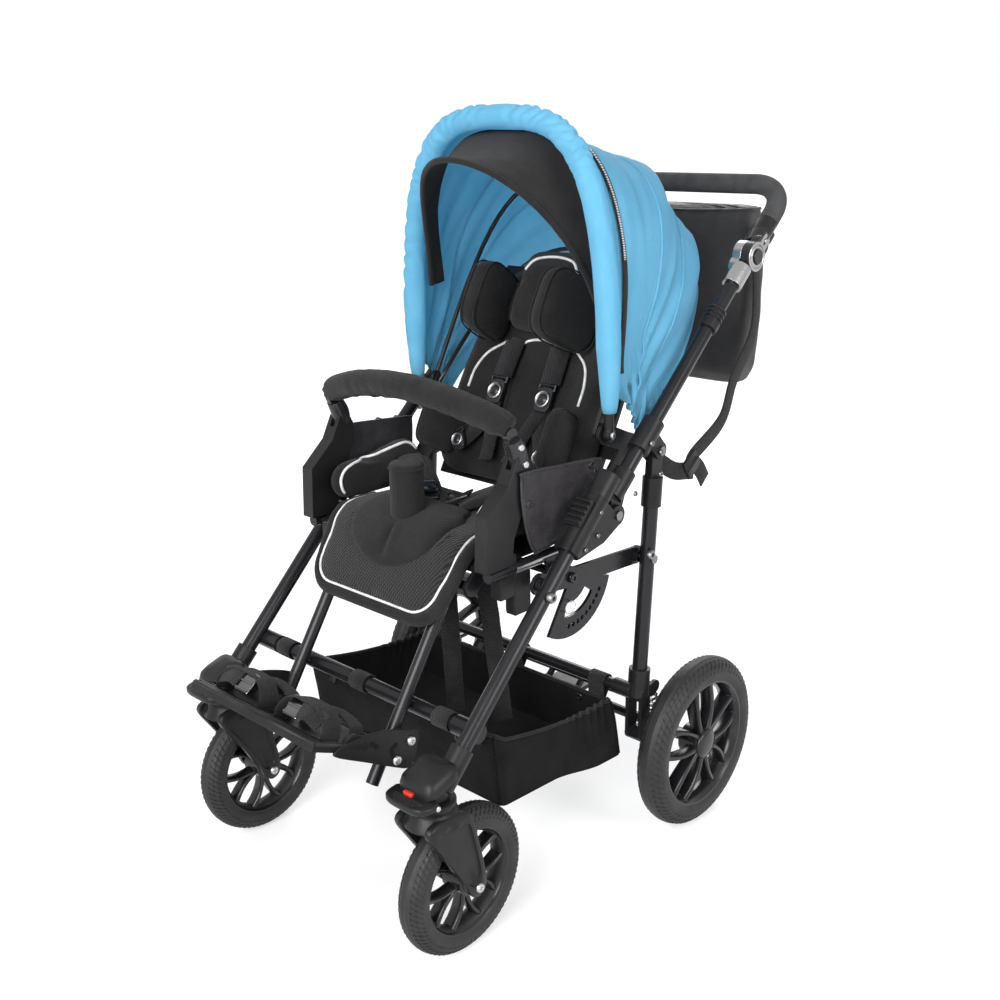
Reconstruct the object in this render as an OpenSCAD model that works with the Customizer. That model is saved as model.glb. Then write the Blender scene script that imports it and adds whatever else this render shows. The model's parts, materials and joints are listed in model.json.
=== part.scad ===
// Special needs buggy: folding tube frame, tilting seat unit, swivel front wheels.
// Side view stations (_y) are measured from the rear axle, forward is negative.
// +X is the left side of the seated child, +Z is up, the floor is at zero.

/* [Wheels] */
// Rear wheel diameter
rear_wheel_d = 300; // [280:1:310]
// Rear tyre section width
rear_tyre_w = 50; // [44:1:52]
// Distance between the rear wheel middle planes
rear_track = 612; // [610:1:640]
// Front wheel diameter
front_wheel_d = 232; // [215:1:236]
// Front tyre section width
front_tyre_w = 43; // [38:1:45]
// Double spokes in each wheel
spoke_count = 5; // [3:1:7]
// Rear axle diameter
axle_d = 12; // [10:0.5:14]

/* [Casters] */
// Distance between the swivel axes
caster_track = 490; // [486:1:496]
// Station of the swivel axes
caster_y = -567; // [-580:1:-560]
// Distance of the front axle behind the swivel axis
caster_trail = 51; // [46:1:54]
// Diameter of the swivel head
crown_d = 66; // [60:1:70]
// Height of the swivel head top above the floor
crown_top_z = 275; // [272:1:277]
// Swivel stem diameter
stem_d = 14; // [12:0.5:16]

/* [Frame] */
// Distance between the side tube middle planes
frame_w = 508; // [506:1:514]
// Front tube diameter
front_tube_d = 25; // [22:0.5:26]
// Upper tube diameter
upper_tube_d = 24; // [21:0.5:25]
// Rear leg diameter
leg_d = 25; // [22:0.5:26]
// Wall of all frame tubes
tube_wall = 1.6; // [1.2:0.1:2.5]
// Station of the front tube foot
tube_foot_y = -545; // [-548:1:-542]
// Height of the front tube foot
tube_foot_z = 302; // [300:1:304]
// Slope of the front tube
front_slope = 45.1; // [44.5:0.1:45.5]
// Station of the fold pivot in the side knuckle
fold_y = -187; // [-189:1:-185]
// Height of the fold pivot
fold_z = 598; // [596:1:600]
// Station of the pivot between rear leg and upper tube
leg_pivot_y = -73; // [-75:1:-71]
// Height of the pivot between rear leg and upper tube
leg_pivot_z = 676; // [674:1:678]
// Slope of the rear leg from upright
leg_lean = 3.7; // [3.4:0.1:4]
// Slope of the upper tube
upper_slope = 42.6; // [42.2:0.1:43]
// Offset of the upper tube axis from the leg pivot
upper_offset = 36.5; // [35:0.5:38]
// Front crossbar diameter
crossbar_d = 24; // [20:1:25]
// Rear crossbar diameter
rear_bar_d = 20; // [16:1:22]

/* [Handle] */
// Distance along the upper tube from its foot to the handle hinge
hinge_run = 512; // [504:1:518]
// Reach of the push bar from the hinge
handle_reach = 161; // [154:1:166]
// Diameter of the foam grip
grip_d = 34; // [30:1:36]
// Corner radius of the push bar
handle_corner = 64; // [56:1:70]
// Diameter of the handle hinge discs
hinge_d = 50; // [46:1:54]

/* [Seat] */
// Station of the tilt pivot
tilt_y = -253; // [-255:1:-251]
// Height of the tilt pivot
tilt_z = 507; // [505:1:509]
// Station of the pivot between tilt plate and rear leg
link_z = 497; // [495:1:499]
// Holes in each tilt plate
tilt_holes = 9; // [5:1:9]
// Distance between the seat rails
rail_track = 400; // [398:1:401]
// Diameter of the seat rails
rail_d = 18; // [16:1:19]
// Height of the seat rails
rail_z = 541; // [540:1:542]
// Front station of the seat pan
pan_front_y = -385; // [-387:1:-383]
// Rear station of the seat pan
pan_rear_y = -190; // [-194:1:-188]
// Width of the seat cushion
cushion_w = 296; // [280:1:296]
// Thickness of the seat cushion
cushion_t = 32; // [26:1:36]
// Diameter of the pommel
pommel_d = 55; // [46:1:60]
// Height of the pommel
pommel_h = 92; // [80:1:100]
// Diameter of the padded bumper bar
bumper_d = 42; // [36:1:44]
// Rise of the bumper bar middle above its ends
bumper_rise = 38; // [30:1:44]

/* [Back] */
// Station of the recline pivot
recline_y = -160; // [-162:1:-158]
// Height of the recline pivot
recline_z = 590; // [588:1:592]
// Slope of the backrest
back_slope = 62; // [61:0.5:63]
// Width of the back cushion
back_w = 340; // [320:1:350]
// Length of the back cushion
back_len = 395; // [380:1:400]
// Thickness of the back cushion
back_t = 36; // [30:1:38]
// Length of the headrest pad
head_len = 150; // [135:1:156]
// Width of the headrest centre pad
head_w = 150; // [130:1:156]

/* [Canopy] */
// Station of the canopy pivot
canopy_y = -140; // [-142:1:-138]
// Height of the canopy pivot
canopy_z = 706; // [704:1:708]
// Half width of the canopy at its sides
canopy_half = 215; // [210:1:217]
// Reach of the front rim above the canopy pivot
rim_reach = 472; // [460:1:478]
// Diameter of the padded front rim
rim_d = 38; // [32:1:38]
// Thickness of the canopy cloth
cloth_t = 4; // [3:0.5:5]

/* [Legrest] */
// Station of the legrest hinge
legrest_y = -398; // [-399:1:-396]
// Height of the legrest hinge
legrest_z = 515; // [514:1:516]
// Length of the legrest tubes
legrest_len = 320; // [310:1:324]
// Slope of the legrest below level
legrest_slope = 57.1; // [57:0.1:58]
// Diameter of the legrest tubes
legrest_d = 20; // [17:1:21]
// Distance between the legrest tubes
legrest_track = 240; // [230:1:244]
// Distance from the legrest hinge to the footplate hinge
foot_run = 262; // [258:1:266]
// Depth of the footplate
foot_depth = 150; // [140:1:152]
// Width of the footplate
foot_w = 290; // [280:1:300]
// Slope of the footplate
foot_slope = 24.6; // [22:0.1:27]

/* [Basket and bag] */
// Half width of the basket
basket_half = 222; // [210:1:224]
// Thickness of the basket cloth
basket_t = 4; // [3:0.5:5]
// Half width of the bag
bag_half = 188; // [175:1:192]
// Depth of the bag
bag_depth = 90; // [80:1:96]
// Height of the bag
bag_h = 325; // [300:1:330]

/* [Hidden] */
$fn = 64;
// Overrun of every cut
over = 2;
// Clearance of running fits, on the diameter
run_fit = 0.1;
// Gap between moving faces
gap = 0.4;
// Gap between soft pieces and their neighbours
soft_gap = 0.5;
side_x = frame_w / 2;
caster_x = caster_track / 2;
rear_x = rear_track / 2;

// Side view points as [station, height]
function step(p, ang, run) = p + run * [cos(ang), sin(ang)];
function turn(p, ang) = [p[0] * cos(ang) - p[1] * sin(ang), p[0] * sin(ang) + p[1] * cos(ang)];
axle_p = [0, rear_wheel_d / 2];
fold_p = [fold_y, fold_z];
leg_pivot = [leg_pivot_y, leg_pivot_z];
leg_dir = -90 - leg_lean;
link_p = step(leg_pivot, leg_dir, (leg_pivot_z - link_z) / cos(leg_lean));
tube_foot = [tube_foot_y, tube_foot_z];
fold_run = (fold_p - tube_foot) * [cos(front_slope), sin(front_slope)];
fold_drop = (fold_p - tube_foot) * [-sin(front_slope), cos(front_slope)];
upper_foot_share = -0.27;
upper_base = step(leg_pivot, upper_slope + 90, upper_offset);
upper_foot = step(upper_base, upper_slope, upper_foot_share * hinge_run);
hinge_p = step(upper_foot, upper_slope, hinge_run);
bar_p = step(hinge_p, upper_slope, handle_reach);
tilt_p = [tilt_y, tilt_z];
recline_p = [recline_y, recline_z];
canopy_p = [canopy_y, canopy_z];
legrest_p = [legrest_y, legrest_z];
legrest_dir = 180 + legrest_slope;
foot_p = step(legrest_p, legrest_dir, foot_run);
foot_dir = 180 - foot_slope;
front_axle = [caster_y + caster_trail, front_wheel_d / 2];

// Middle of the part between its foremost and rearmost points
foot_front = 18;
foot_t = 9;
bag_behind_share = 0.72;
bag_back_y = bar_p[0] + bag_depth * bag_behind_share;
front_tip_y = step(foot_p, foot_dir, foot_front + foot_depth)[0] - foot_t / 2 * sin(foot_slope);
middle_y = (front_tip_y + bag_back_y) / 2;
module place() { translate([0, -middle_y, 0]) children(); }
module both_sides() { children(); mirror([1, 0, 0]) children(); }
module at(x, p) { translate([x, p[0], p[1]]) children(); }

// Plate in the side view between two X planes
module side_plate(x0, x1) {
    translate([x0, 0, 0]) rotate([90, 0, 90]) linear_extrude(x1 - x0) children();
}
// Round bar along X through a side view point
module bar_x(p, d, x0, x1) { at(x0, p) rotate([0, 90, 0]) cylinder(d = d, h = x1 - x0); }
// Round bar in the side view plane
module rod(x, p, q, d) {
    v = q - p;
    at(x, p) rotate([atan2(v[1], v[0]) - 90, 0, 0]) cylinder(d = d, h = norm(v));
}
// Round tube in the side view plane
module pipe(x, p, q, d, bore) {
    a = atan2(q[1] - p[1], q[0] - p[0]);
    difference() {
        rod(x, p, q, d);
        rod(x, step(p, a, -over), step(q, a, over), bore);
    }
}
// Flat link outline with round ends, a little wider than the bar between them
waist_share = 0.95;
module link(p, q, d) {
    v = q - p;
    translate(p) circle(d = d);
    translate(q) circle(d = d);
    translate(p) rotate(atan2(v[1], v[0])) translate([0, -waist_share * d / 2])
        square([norm(v), waist_share * d]);
}

// Skin over a list of rings, each ring counter-clockwise seen from the last one
function flat(l) = [for (a = l) each a];
function middle(r) = [for (k = [0:2]) [for (p = r) p[k]] * [for (p = r) 1] / len(r)];
module skin(rings) {
    n = len(rings[0]);
    m = len(rings);
    sides = [for (i = [0:m - 2], j = [0:n - 1]) let (k = (j + 1) % n) each [
        [i * n + j, (i + 1) * n + j, (i + 1) * n + k],
        [i * n + j, (i + 1) * n + k, i * n + k]]];
    caps = [for (j = [0:n - 1]) let (k = (j + 1) % n) each [
        [m * n, j, k], [m * n + 1, (m - 1) * n + k, (m - 1) * n + j]]];
    polyhedron([each flat(rings), middle(rings[0]), middle(rings[m - 1])], concat(sides, caps));
}
// Skin of a bent sheet: each ring runs out along one face and back along the other
module sheet_skin(rings) {
    n = len(rings[0]);
    m = len(rings);
    sides = [for (i = [0:m - 2], j = [0:n - 1]) let (k = (j + 1) % n) each [
        [i * n + j, (i + 1) * n + j, (i + 1) * n + k],
        [i * n + j, (i + 1) * n + k, i * n + k]]];
    caps = [for (j = [0:n / 2 - 2]) let (a = n - 1 - j, e = (m - 1) * n) each [
        [j, j + 1, a - 1], [j, a - 1, a],
        [e + j, e + a - 1, e + j + 1], [e + j, e + a, e + a - 1]]];
    polyhedron(flat(rings), concat(sides, caps));
}
function unit(v) = v / norm(v);
// Rings of a round section along a path; lift is a direction the path never follows
function sweep_rings(path, d, lift, sides) = let (m = len(path)) [for (i = [0:m - 1])
    let (t = unit(path[min(i + 1, m - 1)] - path[max(i - 1, 0)]), u = unit(cross(lift, t)), v = cross(t, u))
    [for (k = [0:sides - 1]) let (a = 360 * k / sides) path[i] + d[i] / 2 * (cos(a) * u + sin(a) * v)]];
// Padded block: crowned top, drawn-in sides, flat back; a lower power gives a squarer outline
pad_shares = [[0.4, -0.5], [0.8, -0.5], [0.95, -0.42], [1, -0.15], [0.97, 0.14],
    [0.88, 0.34], [0.68, 0.45], [0.35, 0.5]];
function power(v, e) = sign(v) * pow(abs(v), e);
function pad_ring(w, l, s, h, e, sides) = [for (k = [0:sides - 1])
    [w / 2 * s * power(cos(360 * k / sides), e), l / 2 * s * power(sin(360 * k / sides), e), h]];
square_power = 0.4;
round_power = 0.6;
pad_sides = 32;
module pad(w, l, t, e = square_power, sides = pad_sides) {
    skin([for (s = pad_shares) pad_ring(w, l, s[0], s[1] * t, e, sides)]);
}

// Wheels, modelled about the X axis
tyre_sink_share = 0.72;
rear_seat_d = rear_wheel_d - 2 * tyre_sink_share * rear_tyre_w;
front_seat_d = front_wheel_d - 2 * tyre_sink_share * front_tyre_w;
rim_width_share = 0.84;
rim_depth_share = 0.055;
hub_share = 0.2;
spoke_width_share = 0.042;
spoke_spread = 8.5;
spoke_thick_share = 0.3;
cap_t = 5;
module tyre(wheel_d, tyre_w, seat_d) {
    rotate([0, 90, 0]) rotate_extrude() difference() {
        translate([wheel_d / 2 - tyre_w / 2, 0]) circle(d = tyre_w);
        translate([0, -tyre_w]) square([seat_d / 2 + run_fit, 2 * tyre_w]);
    }
}
module rim(wheel_d, tyre_w, seat_d, hub_w, bore, cap_side) {
    ring_in = seat_d / 2 - wheel_d * rim_depth_share;
    hub_d = wheel_d * hub_share;
    spoke_t = tyre_w * spoke_thick_share;
    spoke_w = wheel_d * spoke_width_share;
    difference() {
        rotate([0, 90, 0]) union() {
            rotate_extrude() translate([ring_in, -tyre_w * rim_width_share / 2])
                square([seat_d / 2 - ring_in, tyre_w * rim_width_share]);
            translate([0, 0, -hub_w / 2]) cylinder(d = hub_d, h = hub_w);
            for (i = [0:spoke_count - 1], s = [-1, 1])
                rotate(i * 360 / spoke_count + s * spoke_spread)
                    translate([0, -spoke_w / 2, -spoke_t / 2])
                        cube([ring_in + wheel_d * rim_depth_share / 2, spoke_w, spoke_t]);
        }
        rotate([0, 90, 0]) translate([0, 0, -hub_w]) cylinder(d = bore + run_fit, h = 2 * hub_w);
    }
    if (cap_side != 0) translate([cap_side * hub_w / 2, 0, 0]) rotate([0, cap_side * 90, 0])
        cylinder(d1 = hub_d, d2 = hub_d - 2 * cap_t, h = cap_t);
}
hub_width_share = 0.82;
rear_hub_w = rear_tyre_w * hub_width_share;
module rear_rim_left() {
    color("#1c1c1e") at(rear_x, axle_p)
        rim(rear_wheel_d, rear_tyre_w, rear_seat_d, rear_hub_w, axle_d, 1);
}
module rear_rim_right() { color("#1c1c1e") mirror([1, 0, 0]) rear_rim_left(); }
module rear_tyre_left() {
    color("#3a3a3c") at(rear_x, axle_p) tyre(rear_wheel_d, rear_tyre_w, rear_seat_d);
}
module rear_tyre_right() { color("#3a3a3c") mirror([1, 0, 0]) rear_tyre_left(); }

// Casters
front_axle_d = 10;
blade_t = 8;
blade_gap = 3;
blade_in = front_tyre_w / 2 + blade_gap;
blade_w = 36;
crown_h = 35;
stem_h = 28;
bolt_head_d = 17;
bolt_head_h = 5;
front_hub_w = 2 * (blade_in - gap);
module fork_left() {
    color("#202022") translate([caster_x, 0, 0]) {
        translate([0, caster_y, crown_top_z - crown_h]) cylinder(d = crown_d, h = crown_h);
        translate([0, caster_y, crown_top_z]) cylinder(d = stem_d, h = stem_h);
        both_sides() side_plate(blade_in, blade_in + blade_t)
            link([caster_y, crown_top_z - crown_h + blade_t], front_axle, blade_w);
        bar_x(front_axle, front_axle_d, -blade_in - blade_t, blade_in + blade_t);
        both_sides() bar_x(front_axle, bolt_head_d, blade_in + blade_t, blade_in + blade_t + bolt_head_h);
    }
}
module fork_right() { mirror([1, 0, 0]) fork_left(); }
module front_rim_left() {
    color("#1c1c1e") at(caster_x, front_axle)
        rim(front_wheel_d, front_tyre_w, front_seat_d, front_hub_w, front_axle_d, 0);
}
module front_rim_right() { color("#1c1c1e") mirror([1, 0, 0]) front_rim_left(); }
module front_tyre_left() {
    color("#3a3a3c") at(caster_x, front_axle) tyre(front_wheel_d, front_tyre_w, front_seat_d);
}
module front_tyre_right() { color("#3a3a3c") mirror([1, 0, 0]) front_tyre_left(); }

// Front frame
socket_run = 42;
socket_wall = 5;
housing_d = 46;
housing_h = 37;
lock_pin_d = 8;
lock_barrel_d = 15;
lock_y = caster_y - housing_d / 2 - lock_barrel_d / 2;
lock_z = crown_top_z + lock_barrel_d / 2 + 3 * gap;
lock_p = [lock_y, lock_z];
lock_half = 42;
lock_depth = 28;
lock_mid = 20;
lock_t = 9;
red_d = 16;
red_h = 5;
module front_tubes() {
    color("#26262a") both_sides()
        pipe(side_x, tube_foot, step(tube_foot, front_slope, fold_run - socket_wall), front_tube_d,
            front_tube_d - 2 * tube_wall);
}
module caster_housings() {
    color("#1d1d1f") both_sides() difference() {
        union() {
            translate([caster_x, caster_y, crown_top_z + gap]) cylinder(d = housing_d, h = housing_h);
            rod(side_x, step(tube_foot, front_slope, -socket_run / 2),
                step(tube_foot, front_slope, socket_run),
                front_tube_d + 2 * socket_wall);
            bar_x(lock_p, lock_barrel_d, caster_x - lock_mid, caster_x + lock_mid);
            translate([caster_x - lock_mid, lock_y, lock_z - lock_barrel_d / 2])
                cube([2 * lock_mid, caster_y - lock_y, lock_barrel_d]);
            bar_x(lock_p, lock_pin_d, caster_x - lock_half, caster_x + lock_half);
        }
        rod(side_x, tube_foot, step(tube_foot, front_slope, socket_run + over), front_tube_d + run_fit);
        translate([caster_x, caster_y, crown_top_z - over])
            cylinder(d = stem_d + run_fit, h = stem_h + 2 * over);
        translate([0, caster_y - frame_w, 0]) cube([frame_w, 2 * frame_w, crown_top_z + gap]);
    }
}
module swivel_lock_left() {
    color("#2a2a2c") translate([caster_x, 0, 0]) {
        difference() {
            union() {
                both_sides() bar_x(lock_p, lock_barrel_d, lock_mid + gap, lock_half);
                translate([-lock_half, lock_y - lock_depth, lock_z])
                    cube([2 * lock_half, lock_depth - lock_barrel_d / 2 - gap, lock_t]);
                both_sides() translate([lock_mid + gap, lock_y - lock_barrel_d, lock_z])
                    cube([lock_half - lock_mid - gap, lock_barrel_d, lock_barrel_d / 2]);
            }
            bar_x(lock_p, lock_pin_d + run_fit, -frame_w, frame_w);
        }
    }
    color("#c22a2a") translate([caster_x, lock_y - lock_depth / 2 - lock_barrel_d / 4, lock_z + lock_t])
        cylinder(d = red_d, h = red_h);
}
module swivel_lock_right() { mirror([1, 0, 0]) swivel_lock_left(); }
crossbar_run = 72;
crossbar_set = 19;
crossbar_p = step(step(tube_foot, front_slope, crossbar_run), front_slope - 90, crossbar_set);
sleeve_wall = 3;
sleeve_w = 46;
module front_crossbar() {
    color("#26262a") difference() {
        union() {
            bar_x(crossbar_p, crossbar_d, -side_x + sleeve_wall, side_x - sleeve_wall);
            both_sides() bar_x(crossbar_p, crossbar_d + 2 * sleeve_wall, side_x - sleeve_w, side_x);
        }
        bar_x(crossbar_p, crossbar_d - 2 * tube_wall, -side_x + sleeve_w, side_x - sleeve_w);
        both_sides() rod(side_x, step(tube_foot, front_slope, -socket_run),
            step(tube_foot, front_slope, fold_run), front_tube_d + run_fit);
        both_sides() rod(side_x, tube_foot, step(tube_foot, front_slope, socket_run + run_fit),
            front_tube_d + 2 * socket_wall + run_fit);
    }
}

// Knuckle, in a frame with its origin at the fold pivot and Y along the front tube
knuckle_d = 38;
knuckle_len = 98;
knuckle_cap = 42;
cheek_in = 10;
cheek_t = 7;
cheek_d = 32;
fold_pin_d = 10;
knuckle_lift = -fold_drop;
rivet_d = 8;
rivet_h = 1.5;
module knuckle_frame() { translate([0, fold_y, fold_z]) rotate([front_slope, 0, 0]) children(); }
rivet_shares = [[-0.82, 0.72], [-0.5, 0.5], [-0.2, 0.95]];
module knuckle_lowers() {
    color("#1b1b1d") both_sides() difference() {
        knuckle_frame() {
            rod(side_x, [-knuckle_len, knuckle_lift], [-gap / 2, knuckle_lift], knuckle_d);
            for (s = [-1, 1]) side_plate(side_x + s * (cheek_in + cheek_t / 2) - cheek_t / 2,
                side_x + s * (cheek_in + cheek_t / 2) + cheek_t / 2) {
                polygon([[0, -cheek_d / 2], [0, cheek_d / 2], [-gap / 2, knuckle_lift + cheek_d / 2],
                    [-knuckle_len, knuckle_lift + cheek_d / 2], [-knuckle_len, knuckle_lift - cheek_d / 3],
                    [-knuckle_len / 2, 0]]);
                circle(d = cheek_d);
            }
            for (r = rivet_shares) bar_x([r[0] * knuckle_len, r[1] * knuckle_lift], rivet_d,
                side_x + cheek_in, side_x + cheek_in + cheek_t + rivet_h);
        }
        rod(side_x, tube_foot, step(tube_foot, front_slope, fold_run - socket_wall + run_fit),
            front_tube_d + run_fit);
        knuckle_frame() bar_x([0, 0], fold_pin_d + run_fit, side_x - frame_w, side_x + frame_w);
    }
}
upper_start = (fold_p - upper_foot) * [cos(upper_slope), sin(upper_slope)];
boss_run = 20;
boss_len = 48;
module knuckle_uppers() {
    a = step(upper_foot, upper_slope, upper_start + boss_run);
    b = step(upper_foot, upper_slope, upper_start + boss_run + boss_len);
    color("#1b1b1d") both_sides() difference() {
        union() {
            knuckle_frame() rod(side_x, [gap / 2, knuckle_lift], [knuckle_cap, knuckle_lift], knuckle_d);
            rod(side_x, a, b, upper_tube_d + 2 * socket_wall);
            knuckle_frame() side_plate(side_x - cheek_in + gap, side_x + cheek_in - gap) {
                link([0, 0], [boss_run + boss_len / 3, cheek_d / 2], cheek_d - 2 * gap);
                translate([boss_run / 2, cheek_d / 4])
                    square([knuckle_cap - boss_run / 2, knuckle_lift - cheek_d / 4]);
            }
        }
        rod(side_x, step(a, upper_slope, boss_run / 2), step(b, upper_slope, over), upper_tube_d + run_fit);
        knuckle_frame() bar_x([0, 0], fold_pin_d + run_fit, side_x - frame_w, side_x + frame_w);
    }
}
slider_from = 14;
slider_len = 46;
slider_half = 14;
slider_t = 9;
slider_ribs = 5;
rib_step = slider_len / slider_ribs;
module fold_slider_left() {
    color("#222224") knuckle_frame() difference() {
        union() {
            translate([side_x - slider_half, -slider_from - slider_len, knuckle_lift + knuckle_d / 4])
                cube([2 * slider_half, slider_len, knuckle_d / 4 + slider_t / 2]);
            for (i = [0:slider_ribs - 1])
                translate([side_x - slider_half, -slider_from - slider_len + (i + 1 / 4) * rib_step,
                    knuckle_lift + knuckle_d / 2]) cube([2 * slider_half, rib_step / 2, slider_t]);
        }
        rod(side_x, [-2 * knuckle_len, knuckle_lift], [knuckle_len, knuckle_lift], knuckle_d + 2 * gap);
        for (s = [-1, 1])
            translate([side_x + s * (cheek_in + cheek_t / 2) - cheek_t / 2 - gap, -2 * knuckle_len, 0])
                cube([cheek_t + 2 * gap, 4 * knuckle_len, knuckle_lift + cheek_d / 2 + gap]);
    }
}
module fold_slider_right() { mirror([1, 0, 0]) fold_slider_left(); }

// Handle frame
module upper_tubes() {
    color("#2a2a2e") both_sides()
        pipe(side_x, step(upper_foot, upper_slope, upper_start + boss_run + boss_run / 2),
            step(hinge_p, upper_slope, -hinge_d / 2 - gap), upper_tube_d, upper_tube_d - 2 * tube_wall);
}
leg_pin_d = 10;
fork_in = 7;
fork_t = 6;
bracket_len = 56;
bracket_wall = 6;
eye_d = 28;
collar_run_share = 0.73;
collar_len = 40;
collar_wall = 4;
collar_grooves = 3;
groove_w = 4;
module leg_bracket() {
    a = step(upper_base, upper_slope, -bracket_len / 2);
    b = step(upper_base, upper_slope, bracket_len / 2);
    difference() {
        union() {
            rod(side_x, a, b, upper_tube_d + 2 * bracket_wall);
            for (s = [-1, 1]) side_plate(side_x + s * (fork_in + fork_t / 2) - fork_t / 2,
                side_x + s * (fork_in + fork_t / 2) + fork_t / 2) link(upper_base, leg_pivot, eye_d);
        }
        rod(side_x, step(a, upper_slope, -over), step(b, upper_slope, over), upper_tube_d + run_fit);
        bar_x(leg_pivot, leg_pin_d + run_fit, 0, frame_w);
    }
}
module tube_collar() {
    c = step(upper_foot, upper_slope, collar_run_share * hinge_run);
    difference() {
        rod(side_x, step(c, upper_slope, -collar_len / 2), step(c, upper_slope, collar_len / 2),
            upper_tube_d + 2 * collar_wall);
        for (i = [0:collar_grooves - 1]) {
            g = step(c, upper_slope, (2 * i - 1) * groove_w);
            pipe(side_x, g, step(g, upper_slope, groove_w), upper_tube_d + 4 * collar_wall,
                upper_tube_d + collar_wall);
        }
        rod(side_x, step(c, upper_slope, -collar_len), step(c, upper_slope, collar_len),
            upper_tube_d + run_fit);
    }
}
// Brackets of the leg pivot and the grooved clamps further up each upper tube
module tube_brackets() {
    color("#1b1b1d") both_sides() {
        leg_bracket();
        tube_collar();
    }
}
pin_head_d = 15;
pin_head_h = 3;
module pivot_pin(p, d, half) {
    bar_x(p, d, side_x - half, side_x + half);
    bar_x(p, pin_head_d, side_x + half, side_x + half + pin_head_h);
    bar_x(p, pin_head_d, side_x - half - pin_head_h, side_x - half);
}
module fold_pins() {
    color("#55565a") both_sides() {
        pivot_pin(fold_p, fold_pin_d, cheek_in + cheek_t + gap);
        pivot_pin(leg_pivot, leg_pin_d, fork_in + fork_t + gap);
    }
}
hinge_half = 16;
hinge_arm = 34;
hinge_pin_d = 12;
socket_len = 40;
// One half of the handle hinge: disc on one side of the middle plane and a socket for its tube
module hinge_half_shape(side, dir) {
    from = step(hinge_p, dir, hinge_d / 2 + gap);
    to = step(hinge_p, dir, hinge_d / 2 + socket_len);
    x0 = side_x + (side > 0 ? gap / 2 : -hinge_half);
    x1 = side_x + (side > 0 ? hinge_half : -gap / 2);
    difference() {
        union() {
            bar_x(hinge_p, hinge_d, x0, x1);
            side_plate(x0, x1) link(hinge_p, from, hinge_arm);
            rod(side_x, from, to, hinge_arm - 2 * gap);
        }
        rod(side_x, from, step(to, dir, over), upper_tube_d + run_fit);
        children();
    }
}
module hinge_lowers() {
    color("#b9bbbf") both_sides() {
        hinge_half_shape(-1, upper_slope + 180);
        bar_x(hinge_p, hinge_pin_d, side_x - gap, side_x + hinge_half / 2);
    }
}
button_d = 24;
button_t = 6;
button_out = 4;
button_travel = 3;
button_in = side_x + hinge_half - button_t + button_out;
module hinge_uppers() {
    color("#b9bbbf") both_sides() hinge_half_shape(1, upper_slope) {
        bar_x(hinge_p, hinge_pin_d + run_fit, side_x - hinge_half, side_x + hinge_half / 2 + gap);
        bar_x(hinge_p, button_d + run_fit, button_in - button_travel - gap, frame_w);
    }
}
module hinge_button_left() {
    color("#3a3b3e") bar_x(hinge_p, button_d, button_in, button_in + button_t);
}
module hinge_button_right() { mirror([1, 0, 0]) hinge_button_left(); }
// U shaped bar in the plane of the handle: two legs, two corners and a bridge
module handle_bar(d, leg_from, bore) {
    leg_to = handle_reach - handle_corner;
    at(0, hinge_p) rotate([upper_slope, 0, 0]) difference() {
        handle_solid(d, leg_from, leg_to);
        if (bore > 0) handle_solid(bore, leg_from - over, leg_to);
    }
}
module handle_solid(d, leg_from, leg_to) {
    both_sides() {
        translate([side_x, leg_from, 0]) rotate([-90, 0, 0]) cylinder(d = d, h = leg_to - leg_from);
        translate([side_x - handle_corner, leg_to, 0]) rotate_extrude(angle = 90)
            translate([handle_corner, 0]) circle(d = d);
    }
    translate([-side_x + handle_corner, leg_to + handle_corner, 0]) rotate([0, 90, 0])
        cylinder(d = d, h = 2 * (side_x - handle_corner));
}
grip_from = 76;
module handle_tube() {
    color("#2a2a2e") handle_bar(upper_tube_d, hinge_d / 2 + 2 * gap, upper_tube_d - 2 * tube_wall);
}
module handle_grip() {
    color("#3c3d40") handle_bar(grip_d, grip_from, upper_tube_d + run_fit);
}

// Rear frame
leg_top_drop = 44;
leg_low_drop = 398;
leg_top = step(leg_pivot, leg_dir, leg_top_drop);
leg_low = step(leg_pivot, leg_dir, leg_low_drop);
top_sleeve = 48;
top_wall = 4;
module rear_legs() {
    color("#26262a") both_sides() difference() {
        pipe(side_x, leg_low, step(leg_top, leg_dir, top_wall), leg_d, leg_d - 2 * tube_wall);
        bar_x(link_p, link_bolt_d + run_fit, 0, frame_w);
    }
}
module leg_tops() {
    color("#1b1b1d") both_sides() difference() {
        union() {
            rod(side_x, leg_top, step(leg_top, leg_dir, top_sleeve), leg_d + 2 * top_wall);
            side_plate(side_x - fork_in + gap, side_x + fork_in - gap)
                link(leg_pivot, step(leg_top, leg_dir, top_wall), eye_d - gap);
        }
        rod(side_x, step(leg_top, leg_dir, top_wall - run_fit), step(leg_top, leg_dir, top_sleeve + over),
            leg_d + run_fit);
        bar_x(leg_pivot, leg_pin_d + run_fit, 0, frame_w);
    }
}
link_bolt_d = 10;
plate_inset = 26;
plate_in = side_x - plate_inset;
plate_t = 5.5;
plate_gap = 0.5;
module link_bolts() {
    color("#55565a") both_sides() {
        bar_x(link_p, link_bolt_d, plate_in - pin_head_h, side_x + leg_d / 2 + pin_head_h);
        bar_x(link_p, pin_head_d, plate_in - 2 * pin_head_h, plate_in - pin_head_h);
        bar_x(link_p, pin_head_d, side_x + leg_d / 2 + gap, side_x + leg_d / 2 + pin_head_h);
    }
}
bar_drop = 408;
bar_lead = 16;
rear_bar_p = step(leg_pivot, leg_dir, bar_drop) + [-bar_lead, 0];
module rear_crossbar() {
    color("#26262a") difference() {
        bar_x(rear_bar_p, rear_bar_d, -side_x + leg_d / 2, side_x - leg_d / 2);
        bar_x(rear_bar_p, rear_bar_d - 2 * tube_wall, -side_x, side_x);
    }
}
arm_half = 10;
arm_d = 26;
swing_y = -100;
swing_z = 186;
swing_p = [swing_y, swing_z];
swing_pin_d = 10;
spring_y = -68;
spring_z = 254;
spring_run = 22;
spring_fall = 57;
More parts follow.
